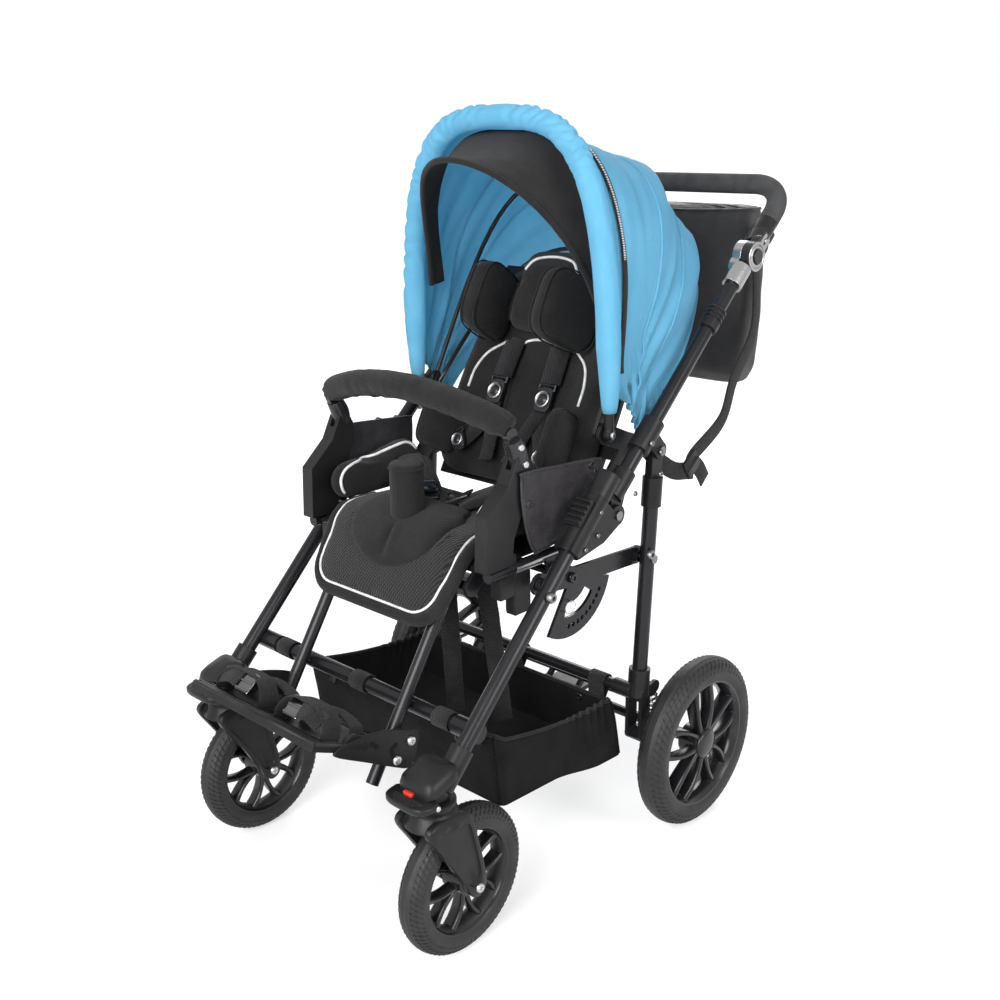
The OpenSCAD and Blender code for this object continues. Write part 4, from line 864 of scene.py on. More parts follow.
def seat_cushion():
    place, length = bent_place(FLAP_PATH)
    part = pad_part(flap_outline(length), SEAT_THICK, place, 1.0, 0.9, SEAT_DOME)
    cushion = puff(build("seat_pad", part, MESH_CLOTH), 0.005, 0.004)
    line = flap_outline(length, 0.010)[3:63]
    ways = [(place(x, r, 1) - place(x, r, 0)).normalized() for x, r in line]
    edge = laid_on(cushion, [place(x, r, 0) for x, r in line], ways)
    piping = build("seat_piping", tube(edge, 0.0021, 10, (0, 0, 1)), PIPING)
    trim = [place(x, r, 0.003) for x, r in flap_outline(length, 0.0015)]
    border = build("seat_border", tube(trim[:63], SEAT_BORDER, 14, (0, 0, 1)), BLACK_CLOTH)
    for obj in (cushion, piping, border):
        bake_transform(obj)
    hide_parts("seat_cushion", "calf_pad")


HORSESHOE_RUN = 0.155
HORSESHOE_THICK = 0.026
HORSESHOE_LIFT = 0.0115
HORSESHOE_DOME = ((0.08, 1.0), (0.2, 1.0), (0.32, 0.995), (0.45, 0.985), (0.58, 0.965), (0.7, 0.93),
                  (0.8, 0.88), (0.88, 0.8), (0.94, 0.66), (0.98, 0.42), (1.0, 0.0))


def horseshoe():
    """Raised pad around the pommel, with a slit in front."""
    place = bent_place(FLAP_PATH)[0]
    outline = []
    for turn in turns(72):
        wide = 0.108 if sin(turn) > -0.2 else 0.100
        outline.append((wide * cos(turn), HORSESHOE_RUN + (0.098 if sin(turn) > 0 else 0.085) * sin(turn)))

    def raised(x, run, out):
        slit = max(0, 1 - abs(x - 0.004) / 0.006) if 0.195 < run < 0.238 else 0
        dip = 0.014 * max(0, 1 - ((run - 0.06) / 0.05) ** 2) if run < 0.11 else 0
        return place(x, run, HORSESHOE_LIFT + max(out, 0) * 1.15 - 0.010 * slit - dip)
    part = pad_part(outline, HORSESHOE_THICK, raised, 1.0, 0.3, HORSESHOE_DOME)
    pad = puff(subdivide(build("horseshoe_pad", part, BLACK_CLOTH)), 0.004, 0.004)
    ring = [place(x * 1.015, HORSESHOE_RUN + (r - HORSESHOE_RUN) * 1.015, 0.0145) for x, r in outline]
    seam = build("horseshoe_seam", tube(ring, 0.0035, 10, (0, 0, 1), True), BLACK_CLOTH)
    for obj in (pad, seam):
        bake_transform(obj)


def pommel():
    low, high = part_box("pommel")
    base = Vector(((low.x + high.x) / 2, (low.y + high.y) / 2, low.z))
    tall = high.z - low.z
    radius = (high.x - low.x) / 2
    seam = tall - 0.0095
    profile = ((0.86, 0), (0.97, 0.004), (1, 0.012), (0.985, tall * 0.4), (0.975, tall * 0.7),
               (0.985, tall - 0.014), (0.95, seam), (0.985, tall - 0.006), (0.93, tall - 0.002),
               (0.6, tall), (0.1, tall + 0.0004))
    form = lathe([(radius * share, along) for share, along in profile], base, (0, 0, 1), 48)
    body = subdivide(build("pommel_pad", form, BLACK_CLOTH))
    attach(body, "pommel")
    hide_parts("pommel")
    ring = [base + Vector((radius * cos(turn), radius * sin(turn), seam)) for turn in turns(48)]
    build("pommel_seam", tube(ring, FINE_SEAM, 8, (0, 0, 1), True), BLACK_CLOTH, "pommel")


HIP_THICK = 0.0365
HIP_INNER = 0.1485
HIP_POINTS = ((-0.386, 0.612), (-0.380, 0.590), (-0.360, 0.578), (-0.300, 0.575), (-0.235, 0.577),
              (-0.196, 0.588), (-0.191, 0.612), (-0.198, 0.636), (-0.222, 0.653), (-0.260, 0.650),
              (-0.310, 0.641), (-0.352, 0.639), (-0.376, 0.630))


def hip_pads():
    outline = ring_outline(HIP_POINTS, 6)

    def place(y, z, out):
        return side(HIP_INNER + HIP_THICK / 2 - out, y, z)
    part = both(pad_part(outline, HIP_THICK, place))
    pads = puff(build("hip_pad_pair", part, BLACK_CLOTH), 0.005, 0.003)
    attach(pads, "seat")
    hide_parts("hip_pads")
    centre = Vector((-0.288, 0.614))
    line = [centre + (Vector(p) - centre) * 0.90 for p in outline[42:] + outline[:8]]
    path = laid_on(pads, [place(p.x, p.y, 0) for p in line], [Vector((-1, 0, 0))] * len(line))
    build("hip_piping", both(tube(path, 0.0025, 10, (1, 0, 0))), PIPING, "seat")


# Back, headrest and harness, in a frame up along the back

BACK = Matrix.Translation(pivot("recline")) @ Matrix.Rotation(radians(62 - 90), 4, "X")
BACK_OUT = BACK.to_3x3() @ Vector((0, -1, 0))
BACK_FRONT = -0.0085
BACK_LEN = 0.395
BACK_WIDE = 0.340
BACK_MID = 0.014
BACK_THICK = 0.036
HEAD_FROM = 0.258
HEAD_LEN = 0.150
BACK_ARC = ((-0.044, 0.238), (-0.030, 0.249), (0.0, 0.254), (0.030, 0.249), (0.044, 0.238))
BACK_SIDE_ARC = ((0.124, 0.150), (0.122, 0.185), (0.108, 0.218), (0.078, 0.243))
BACK_PANEL = ((-0.046, 0.235), (-0.040, 0.170), (-0.030, 0.105), (0, 0.085), (0.030, 0.105),
              (0.040, 0.170), (0.046, 0.235))
HEAD_ARC = ((-0.058, 0.030), (-0.040, 0.050), (0.0, 0.057), (0.040, 0.050), (0.058, 0.030))
HEAD_LOW_ARC = ((-0.050, -0.052), (-0.030, -0.060), (0.0, -0.062), (0.030, -0.060), (0.050, -0.052))
HEAD_DOME = ((0.35, 1.0), (0.6, 0.985), (0.78, 0.94), (0.89, 0.82), (0.955, 0.62), (0.99, 0.32), (1.0, 0.0))
HEAD_THICK = 0.034
HEAD_YAW = radians(12)
WING_PLACE = (0.0857, -0.063, -0.042)
WING_THICK = 0.042
TRUNK_DOME = ((0.35, 1.0), (0.6, 0.98), (0.78, 0.92), (0.89, 0.8), (0.955, 0.6), (0.99, 0.3), (1.0, 0.0))
TRUNK_LEAN = radians(14)
TRUNK_THICK = 0.030
TRUNK_ACROSS = 0.128
TRUNK_RUN = 0.080
HARNESS_FACE = -0.0165
HARNESS_STRAPS = (
    (0.030, 0.0028, ((0.050, 0.004, 0.250), (0.052, 0, 0.225), (0.054, -0.001, 0.150),
                     (0.060, -0.002, 0.105), (0.082, -0.006, 0.065), (0.104, -0.012, 0.040))),
    (0.042, 0.007, ((0.051, -0.0005, 0.242), (0.053, -0.002, 0.205), (0.054, -0.0025, 0.178))),
    (0.028, 0.0028, ((0.056, -0.003, 0.140), (0.040, -0.006, 0.095), (0.030, -0.008, 0.060),
                     (0.024, -0.012, 0.030))),
)


def back(x, y, z):
    """Point from its place across, its depth behind the hinge and its run up the back."""
    return BACK @ Vector((x, y, z))


def laid_line(pad, place, points):
    """Smooth line over the front of a pad of the back."""
    path = curve([place(x, 0, z) for x, z in points], 8)
    return laid_on(pad, path, [BACK_OUT] * len(path))


def bolster(x, z):
    """How far the side wings of the back stand out."""
    return 0.016 * eased((abs(x) - 0.085) / 0.045) * eased((0.30 - z) / 0.08)


def back_cushion():
    outline = []
    for x, z in pad_outline(BACK_WIDE, BACK_LEN, 0.28, 96):
        top = eased((z - 0.08) / 0.12)
        outline.append((x * (1 - 0.14 * top), z))

    def place(x, z, out):
        high = z + BACK_LEN / 2 - 0.002
        front = bolster(x, high) if out > 0 else 0
        return back(x, BACK_MID - out - front, high)
    part = pad_part(outline, BACK_THICK, place)
    cushion = puff(subdivide(build("back_pad", part, BLACK_CLOTH)), 0.005, 0.004)
    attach(cushion, "backrest")
    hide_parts("back_cushion")
    arcs = [BACK_ARC] + [[(s * x, z) for x, z in BACK_SIDE_ARC] for s in (FAR, NEAR)]
    lines = [tube(laid_line(cushion, back, arc), PIPING_RADIUS, 10) for arc in arcs]
    build("back_piping", joined(*lines), PIPING, "backrest")
    panel = laid_line(cushion, back, BACK_PANEL)
    build("back_panel_seam", tube(panel, 0.0030, 10), BLACK_CLOTH, "backrest")


def head_place(x, y, z):
    return back(x, BACK_FRONT - 0.0005 + y, HEAD_FROM + HEAD_LEN / 2 + z)


def headrest():
    centre = pad_part(pad_outline(0.150, HEAD_LEN, 0.42, 72), HEAD_THICK,
                      lambda x, z, out: head_place(x, -HEAD_THICK / 2 - out, z))

    def wing(a, b, c):
        x = c * cos(HEAD_YAW) + b * sin(HEAD_YAW)
        y = -c * sin(HEAD_YAW) + b * cos(HEAD_YAW)
        return head_place(WING_PLACE[0] + x, WING_PLACE[1] + y, a + WING_PLACE[2])
    outline = pad_outline(0.122, 0.126, 0.55, 72)
    pads = joined(centre, both(pad_part(outline, WING_THICK, wing, 1.0, 1.0, HEAD_DOME)))
    head = puff(build("head_pads", pads, BLACK_CLOTH), 0.004, 0.005)
    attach(head, "headrest")
    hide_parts("headrest")
    seams = []
    for depth in (-0.0125, 0.0125):
        loop = [wing(a * 0.985, b * 0.985, depth) for a, b in outline]
        seams.append(both(tube(loop, FINE_SEAM, 8, (1, 0, 0), True)))
    build("head_seams", joined(*seams), BLACK_CLOTH, "headrest")
    piping = laid_line(head, head_place, HEAD_ARC)
    build("head_piping", tube(piping, PIPING_RADIUS, 10), PIPING, "headrest")
    low = curve([head_place(x, -HEAD_THICK, z) for x, z in HEAD_LOW_ARC], 8)
    build("head_low_seam", tube(low, 0.0022, 10), BLACK_CLOTH, "headrest")


def plate(outline, thick, place, edge=0.0012):
    """Flat piece with eased edges; place maps (across, along, out)."""
    mid = middle_of(outline)
    small = 1 - edge / max(max(abs(a - mid[0]), abs(b - mid[1])) for a, b in outline)
    levels = ((small, 0), (1, edge), (1, thick - edge), (small, thick))
    return loft([[place(a, b, out) for a, b in scaled(outline, mid, scale)] for scale, out in levels])


def buckle(place, wide, tall):
    """Slide buckle with a round button: its body with a ladder bar, and a raised ring."""
    body = plate(pad_outline(wide, tall, 0.45, 40), 0.007, place)
    centre = place(0, 0.0, 0.006)
    axis = place(0, 0, 0.012) - place(0, 0, 0.0)
    ring = ((0.30, 0), (0.45, 0), (0.45, 0.004), (0.40, 0.0052), (0.33, 0.004), (0.30, 0.002))
    button = ((0.29, 0), (0.29, 0.003), (0.22, 0.0048), (0.02, 0.0055))
    turned = [lathe([(wide * share, along) for share, along in profile], centre, axis, 28)
              for profile in (ring, button)]
    end = wide * 0.52
    bars = [((-end, tall * share), (end, tall * share)) for share in (0.40, 0.58)]
    bars += [((x, tall * 0.36), (x, tall * 0.62)) for x in (-end, end)]
    ladder = [tube([place(*a, 0.005), place(*b, 0.005)], 0.0024, 8, axis) for a, b in bars]
    return joined(body, turned[1], *ladder), turned[0]


def harness():
    straps = []
    buckles = []
    for s in (NEAR, FAR):
        for wide, thick, points in HARNESS_STRAPS:
            route = [back(s * x, HARNESS_FACE + y, z) for x, y, z in points]
            straps.append(strap(curve(route, 8), wide, thick, BACK_OUT))

        def high_face(x, z, out, s=s):
            return back(s * (0.054 + x), -0.0185 - out, 0.150 + z)

        def low_face(x, z, out, s=s):
            return back(s * (0.092 + 0.8 * x + 0.5 * z), -0.029 - out, 0.052 - 0.5 * x + 0.8 * z)
        buckles.append(buckle(high_face, 0.032, 0.044))
        buckles.append(buckle(low_face, 0.026, 0.036))
    belts = build("harness_webbing", joined(*straps), WEBBING, "backrest", 50)
    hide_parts("harness")
    build("harness_buckles", joined(*[body for body, ring in buckles]), GLOSS, "backrest", 40)
    build("harness_rings", joined(*[ring for body, ring in buckles]), STEEL, "backrest", 40)


def trunk_pads():
    def trunk(a, b, c):
        x = TRUNK_ACROSS + c * cos(TRUNK_LEAN) - b * sin(TRUNK_LEAN)
        y = BACK_FRONT - 0.0385 + b * cos(TRUNK_LEAN) + c * sin(TRUNK_LEAN)
        return back(x, y, TRUNK_RUN + a)
    outline = pad_outline(0.108, 0.086, 0.42, 64)
    part = both(pad_part(outline, TRUNK_THICK, trunk, 1.0, 1.0, TRUNK_DOME))
    pads = puff(build("trunk_pads", part, BLACK_CLOTH), 0.004, 0.004)
    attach(pads, "backrest")
    loop = [trunk(a * 0.99, b * 0.99, 0.006) for a, b in outline]
    build("trunk_seams", both(tube(loop, FINE_SEAM, 8, (1, 0, 0), True)), BLACK_CLOTH, "backrest")


BELT_TURN = radians(30)
BELT_PLACE = (0.083, -0.268, 0.600)
BELT_THICK = 0.020


def hip_belts():
    """Two padded belt ends that lie on the seat, each with a buckle."""
    pads = []
    buckles = []
    for s in (NEAR, FAR):
        def place(a, b, out, s=s):
            across = BELT_PLACE[0] + a * cos(BELT_TURN) - b * sin(BELT_TURN)
            run = BELT_PLACE[1] + a * sin(BELT_TURN) + b * cos(BELT_TURN)
            lift = BELT_PLACE[2] + 0.10 * a + 0.35 * (across - 0.05) + 0.12 * b
            return side(s * across, run, lift + out)

        def face(x, z, out, place=place):
            return place(-0.060 + z, x, 0.011 + out)
        pads.append(pad_part(pad_outline(0.100, 0.062, 0.4, 60), BELT_THICK, place))
        route = [place(run, 0, lift) for run, lift in
                 ((-0.075, 0.008), (-0.03, 0.0115), (0.02, 0.0115), (0.045, 0.009))]
        pads.append(strap(route, 0.028, STRAP_THICK, (0, 0, 1)))
        buckles.append(buckle(face, 0.034, 0.040))
    belt = puff(build("hip_belt_pads", joined(*pads), BLACK_CLOTH), 0.003, 0.004)
    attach(belt, "seat")
    build("hip_belt_buckles", joined(*[body for body, ring in buckles]), GLOSS, "seat", 40)
    build("hip_belt_rings", joined(*[ring for body, ring in buckles]), PLASTIC, "seat", 40)


SIDE_POINTS = ((-0.340, 0.690), (-0.250, 0.684), (-0.165, 0.676), (-0.159, 0.668), (-0.160, 0.620),
               (-0.163, 0.584), (-0.170, 0.577), (-0.240, 0.566), (-0.306, 0.556), (-0.318, 0.560),
               (-0.333, 0.590), (-0.345, 0.640), (-0.346, 0.680))
SIDE_ACROSS = 0.214
SIDE_THICK = 0.006
SIDE_DOME = ((0.25, 1.0), (0.5, 1.0), (0.7, 0.98), (0.85, 0.94), (0.94, 0.86), (0.985, 0.66), (1.0, 0.0))
SIDE_SNAP = ((0.0062, 0), (0.0062, 0.002), (0.005, 0.0032), (0.0024, 0.0034), (0.002, 0.0018),
             (0.0003, 0.0018))
SIDE_SNAP_PLACES = ((-0.331, 0.640), (-0.187, 0.668), (-0.178, 0.655))


def side_panels():
    """Cloth sides that hang between the armrest posts and the back plates."""
    outline = ring_outline(SIDE_POINTS, 5)

    def place(y, z, out):
        wave = 0.0022 * noise.noise(Vector((y * 16, z * 12, 1)))
        wave += 0.002 * noise.noise(Vector((y * 40 + z * 30, 3, 2)))
        return side(SIDE_ACROSS + out + (wave if out > 0 else 0.5 * wave), y, z)
    part = both(pad_part(outline, SIDE_THICK, place, 1.0, 1.0, SIDE_DOME))
    panels = subdivide(build("side_cloths", part, COATED, "seat"))
    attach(panels, "seat")
    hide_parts("side_panels")
    hem = [side(0.2172, y + (-0.25 - y) * 0.05, z + (0.62 - z) * 0.07) for y, z in outline]
    build("side_stitching", both(tube(hem, 0.0009, 6, (1, 0, 0), True)), COATED, "seat")
    snaps = [lathe(SIDE_SNAP, side(0.2165, y, z), (1, 0, 0), 22) for y, z in SIDE_SNAP_PLACES]
    build("side_snaps", both(joined(*snaps)), GLOSS, "seat", 40)


BUMPER_RISE = 0.038
BUMPER_BOW = 0.026
BUMPER_RADIUS = 0.021
BUMPER_END = side(0.198, -0.350, 0.7545)
CLIP_BOLT = ((0.0052, 0), (0.0052, 0.003), (0.004, 0.0042), (0.0003, 0.0044))


def bumper_bar():
    end = BUMPER_END
    path = []
    for i in range(121):
        s = -1.0 + 2.0 * i / 120
        c = 1 - s * s
        path.append(Vector((s * end.x, end.y - BUMPER_BOW * c, end.z + BUMPER_RISE * c)))

    def cover(share, turn):
        end_gap = min(share, 1 - share)
        tight = 0.80 + 0.20 * eased(end_gap / 0.045)
        under = max(0.0, -sin(turn)) ** 2
        pucker = noise.noise(Vector((share * 26, turn * 0.9, 4))) * 0.0022 * (0.35 + under)
        seam = -0.0025 * max(0, 1 - abs(((turn - 1.5 * pi + 0.25) + pi) % tau - pi) / 0.22)
        gather = 0.0012 * sin(turn * 9) * (1 - eased(end_gap / 0.06))
        return BUMPER_RADIUS * tight + pucker + seam + gather
    bar = build("bumper_pad", tube(path, cover, 36, (0, 0, 1)), BLACK_CLOTH, "bumper")
    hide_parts("bumper_bar")
    for s in (NEAR, FAR):
        hinge = pivot("bumper_swing")
        top = Vector((s * 0.198, end.y + 0.004, end.z - 0.018))
        low = Vector((s * 0.198, hinge.y + 0.002, hinge.z - 0.004))
        shell = tube(curve([top, (top + low) / 2 + Vector((0, 0.003, 0)), low], 8),
                     lambda share, turn: 0.0135 + 0.002 * sin(pi * share), 20, (0, 1, 0))
        build(f"bumper_clip_{s + 1}", shell, GLOSS, "bumper", 50)
        bolts = [lathe(CLIP_BOLT, top.lerp(low, share) + Vector((s * 0.0135, 0, 0)), (s, 0, 0), 20)
                 for share in (0.25, 0.92)]
        build(f"bumper_bolts_{s + 1}", joined(*bolts), STEEL, "bumper", 40)


# Footplate, in its own frame: run goes forward from the hinge

FOOT = Matrix.Translation(pivot("footplate_flip")) @ Matrix.Rotation(radians(-24.6), 4, "X")
FOOT_STRAPS = ((0.122, 0.047, 0.036), (0.074, 0.037, 0.028))
RIDGE_LIFT = 0.0062
RIDGE_ACROSS = 0.1425


def foot(x, run, z):
    return FOOT @ Vector((x, -run, z))


def feet(s, *points):
    return [foot(s * x, run, z) for x, run, z in points]


def foot_straps():
    """Two straps over each foot, the front one with a buckle and a loose end."""
    straps = []
    clasps = []
    for s in (NEAR, FAR):
        for run, tall, wide in FOOT_STRAPS:
            points = feet(s, (0.020, run, 0.0055), (0.021, run, 0.024), (0.040, run, tall - 0.004),
                          (0.072, run, tall), (0.104, run, tall - 0.004), (0.123, run, 0.024),
                          (0.124, run, 0.0055))
            straps.append(strap(curve(points, 7), wide, STRAP_THICK, FOOT.to_3x3() @ Vector((s, 0, 0.1))))

        def clasp(x, z, out, s=s):
            return foot(s * (0.058 + x), 0.136 - 0.5 * z + 0.86 * out, 0.032 + 0.86 * z + 0.5 * out)
        clasps.append(plate(pad_outline(0.031, 0.034, 0.16, 40), 0.004, clasp))
        for z in (-0.013, 0.0, 0.013):
            clasps.append(tube([clasp(-0.0145, z, 0.0042), clasp(0.0145, z, 0.0042)], 0.0019, 8))
        tail = [clasp(0.014, 0.0, 0.0055), clasp(0.034, 0.002, 0.006), clasp(0.060, -0.004, -0.001)]
        straps.append(strap(curve(tail, 6), 0.030, STRAP_THICK, FOOT.to_3x3() @ Vector((0, -0.86, 0.5))))
    made = build("foot_webbing", joined(*straps), WEBBING, "footplate", 50)
    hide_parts("foot_straps")
    build("foot_buckles", joined(*clasps), CHROME_DARK, "footplate", 40)


def foot_ridges():
    """Raised lines along the front edge and the sides of the plate."""
    ridges = []
    for run in (0.1640, 0.1545):
        ridges.append(tube(feet(1, (-0.1435, run, RIDGE_LIFT), (0.1435, run, RIDGE_LIFT)), 0.0042, 12))
    for s in (NEAR, FAR):
        line = feet(s, (RIDGE_ACROSS, 0.030, RIDGE_LIFT), (RIDGE_ACROSS, 0.164, RIDGE_LIFT))
        ridges.append(tube(line, 0.0036, 12))
    build("foot_ridges", joined(*ridges), PLASTIC, "footplate")


BRACKET_ACROSS = 0.1455
BRACKET_THICK = 0.004
BRACKET_FACE = 0.1496
BRACKET_POINTS = ((-0.030, 0.030), (-0.012, 0.036), (0.030, 0.034), (0.070, 0.026), (0.110, 0.010),
                  (0.128, -0.002), (0.122, -0.010), (0.060, -0.016), (0.0, -0.022), (-0.026, -0.022),
                  (-0.034, -0.010))
BRACKET_HOLES = ((0.052, 0.008, 0.0042), (0.062, 0.0115, 0.0046), (0.075, 0.008, 0.0062),
                 (0.088, 0.006, 0.0046), (0.098, 0.005, 0.0038))
FOOT_BOLT = ((0.0075, 0), (0.0075, 0.0025), (0.0062, 0.0046), (0.0028, 0.005), (0.0022, 0.003),
             (0.0003, 0.003))


def footplate_trim():
    """Side brackets with their bolts; their row of holes and slot are dark discs and a dark strip on the
    face, painted shade.
    """
    brackets = []
    bolts = []
    dark = []
    outline = ring_outline(BRACKET_POINTS, 5)
    for s in (NEAR, FAR):
        out = (s, 0, 0)
        brackets.append(plate(outline, BRACKET_THICK,
                              lambda a, b, out, s=s: foot(s * (BRACKET_ACROSS + out), a, b)))
        # The holes and the slot are not cut through: dark discs and a dark strip laid on the face are painted
        # shade standing for them.
        for run, high, size in BRACKET_HOLES:
            hole = ((size, 0), (size, 0.0006), (0.0004, 0.0007))
            dark.append(lathe(hole, foot(s * BRACKET_FACE, run, high), out, 20))
        slot = curve(feet(s, (0.1497, 0.012, 0.014), (0.1497, 0.020, 0.004), (0.1497, 0.010, -0.008)), 8)
        dark.append(strap(slot, 0.008, 0.0009, out))
        for run, high in ((-0.014, 0.020), (0.004, -0.010)):
            bolts.append(lathe(FOOT_BOLT, foot(s * BRACKET_FACE, run, high), out, 24))
    build("foot_brackets", joined(*brackets), PLASTIC, "footplate", 40)
    build("foot_bracket_hole_shade", joined(*dark), LINING, "footplate", 40)
    build("foot_bolts", joined(*bolts), STEEL, "footplate", 40)


# Basket: a cloth tub hung from the two cross bars

BASKET_HALF = 0.218
BASKET_LONG = 0.273
BASKET_MID = -0.2605
BASKET_BELLY = 0.020
BASKET_ROWS = 14
BASKET_THICK = 0.0025
HEM_FRONT = 0.297
HEM_REAR = 0.240
HEM_SIDE = 0.281
LOOP_PLACES = (-0.185, 0.0, 0.185)
FRONT_BAR = (-0.4807, 0.3396)
REAR_BAR = (-0.1153, 0.2689)


def box_outline(wide, long, corner, per_side=56, per_corner=5):
    """Oblong with tight round corners and evenly spread points."""
    out = []
    spots = ((1, 1), (-1, 1), (-1, -1), (1, -1))
    for k, (sx, sy) in enumerate(spots):
        centre = (sx * (wide / 2 - corner), sy * (long / 2 - corner))
        for i in range(per_corner + 1):
            turn = pi / 2 * (k + i / per_corner)
            out.append((centre[0] + corner * cos(turn), centre[1] + corner * sin(turn)))
        nx, ny = spots[(k + 1) % 4]
        aim = (nx * (wide / 2 - corner), ny * (long / 2 - corner))
        turn = pi / 2 * (k + 1)
        start = out[-1]
        stop = (aim[0] + corner * cos(turn), aim[1] + corner * sin(turn))
        for i in range(1, per_side):
            share = i / per_side
            out.append((start[0] + (stop[0] - start[0]) * share, start[1] + (stop[1] - start[1]) * share))
    return out


def basket_floor(y):
    return 0.168 - 0.017 * (y + 0.398) / 0.275


def basket_wall(x, y, share):
    """Point of the wall over a point of the floor's outline; share runs from the floor to the hem."""
    run = y / BASKET_LONG + 0.5
    front = eased((0.03 - run) / 0.03)
    rear = eased((run - 0.97) / 0.03)
    flank = 1 - front - rear
    hem = HEM_FRONT * front + HEM_REAR * rear + (HEM_SIDE - 0.033 * run - 0.010 * sin(pi * run)) * flank
    low = basket_floor(BASKET_MID + y)
    pull = eased((run - 0.45) / 0.3) * flank
    gather = pull * share ** 2 * 0.0045 * sin(run * 95 + 2 * noise.noise(Vector((run * 8, 0, 0))))
    soft = 0.003 * noise.noise(Vector((x * 9, y * 16, share * 2.2))) * sin(pi * share)
    wide = 1 + BASKET_BELLY / BASKET_HALF * (1 - share) ** 0.8 * eased((run - 0.45) / 0.35)
    across = x * wide + (gather + soft * flank) * (1 if x > 0 else -1)
    place = BASKET_MID + y - 0.021 * front * share + soft * (front - rear)
    return side(across, place, low + (hem - low) * share)


def basket_rings(outline):
    """Rings of the tub, from the middle of its floor out and up to the hem."""
    rings = []
    for scale in (0.05, 0.35, 0.65, 0.85, 0.95):
        ring = []
        for x, y in outline:
            edge = basket_wall(x, y, 0)
            y_in = BASKET_MID + y * scale
            sag = -0.006 * (1 - scale) + 0.002 * noise.noise(Vector((x * 12 * scale, y * 14 * scale, 1)))
            ring.append(side(edge.x * scale, y_in, basket_floor(y_in) + sag))
        rings.append(ring)
    for k in range(BASKET_ROWS + 1):
        rings.append([basket_wall(x, y, k / BASKET_ROWS) for x, y in outline])
    return rings


def basket_loop(x, bar, size, target):
    """Webbing from the hem around a cross bar and back."""
    centre = side(x, *bar)
    aim = side(x, *target)
    direction = degrees(atan2(aim.z - centre.z, aim.y - centre.y))
    wrap = [centre + step(direction + 40 + 280 * i / 20, size) for i in range(21)]
    return strap([aim] + wrap + [aim + Vector((0, 0, -0.012))], 0.034, 0.002, (0, 0, 1))


def basket():
    rings = basket_rings(box_outline(2 * BASKET_HALF, BASKET_LONG, 0.010))
    tub = build("basket_cloth", loft(rings, caps=False), LINING)
    thicken(tub, BASKET_THICK)
    hem = build("basket_hem", tube(rings[-1], 0.0030, 8, (0, 0, 1), True), BLACK_CLOTH)
    base = build("basket_base_seam", tube(rings[5], 0.0022, 8, (0, 0, 1), True), LINING)
    corners = []
    for x in (-BASKET_HALF, BASKET_HALF):
        for y in (-BASKET_LONG / 2, BASKET_LONG / 2):
            path = [basket_wall(x * 0.995, y * 0.985, k / BASKET_ROWS) for k in range(BASKET_ROWS + 1)]
            corners.append(tube(path, 0.0020, 8, (1, 0, 0)))
    piping = build("basket_corner_seams", joined(*corners), LINING)
    front_loops = [basket_loop(x, FRONT_BAR, 0.0145, (-0.4225, 0.290)) for x in LOOP_PLACES]
    rear_loops = [basket_loop(x, REAR_BAR, 0.0125, (-0.1235, 0.236)) for x in LOOP_PLACES]
    build("basket_front_tabs", joined(*front_loops), WEBBING, "front_frame", 50)
    tabs = build("basket_tabs", joined(*rear_loops), WEBBING, None, 50)
    studs = []
    for x in (-0.150, 0.150):
        studs.append(bolt_head(side(x, -0.4205, 0.272), (0, -1, 0.2), 0.007, 0.0036))
        studs.append(bolt_head(side(x, -0.1255, 0.228), (0, -1, 0), 0.007, 0.0036))
    snaps = build("basket_studs", joined(*studs), GLOSS, None, 40)
    for obj in (tub, hem, base, piping, tabs, snaps):
        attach(obj, "rear_frame")
        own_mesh(obj)
    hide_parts("basket")


# Bag behind the handle

BAG_FRONT = side(0, 0.2707, 0).y
BAG_REAR = side(0, 0.3607, 0).y
BAG_HALF = 0.187
BAG_STRAPS = (
    (10, 0.032, 0.2, ((0.191, 0.303, 0.965), (0.1980, 0.299, 0.918), (0.212, 0.278, 0.816),
                      (0.220, 0.207, 0.740), (0.221, 0.172, 0.673), (0.226, 0.080, 0.630),
                      (0.228, 0.064, 0.618))),
    (8, 0.030, 0, ((0.229, 0.070, 0.622), (0.231, 0.092, 0.604), (0.227, 0.116, 0.578))),
    (8, 0.030, 0, ((0.222, -0.052, 0.668), (0.224, -0.030, 0.648), (0.226, 0.020, 0.616),
                   (0.227, 0.062, 0.606), (0.226, 0.082, 0.602))),
)


def bag_ring(share, bottom, top):
    """Outline of the sack at a share of its height."""
    fat = 0.30 + 0.70 * sin(pi * (0.10 + 0.72 * share) ** 0.9) ** 0.7
    if share > 0.93:
        fat *= 1 - 0.55 * eased((share - 0.93) / 0.07)
    if share < 0.08:
        fat *= 0.5 + 0.5 * eased(share / 0.08)
    wide = BAG_HALF * (0.965 + 0.035 * sin(pi * share)) * (1 - 0.05 * eased((0.12 - share) / 0.12))
    mid = (BAG_FRONT + BAG_REAR) / 2
    ring = []
    for x, y in pad_outline(2 * wide, (BAG_REAR - BAG_FRONT) * fat, 0.34, 120):
        wrinkle = 0.0030 * noise.noise(Vector((x * 14, share * 9, 2 if y > 0 else 6)))
        drawn = 0.0016 * sin(x * 190) * eased((share - 0.80) / 0.16)
        ring.append(Vector((x, mid + y + (wrinkle + drawn) * (1 if y > 0 else -1),
                            bottom + (top - bottom) * share - 0.006 * (1 - (x / wide) ** 2) * share)))
    return ring


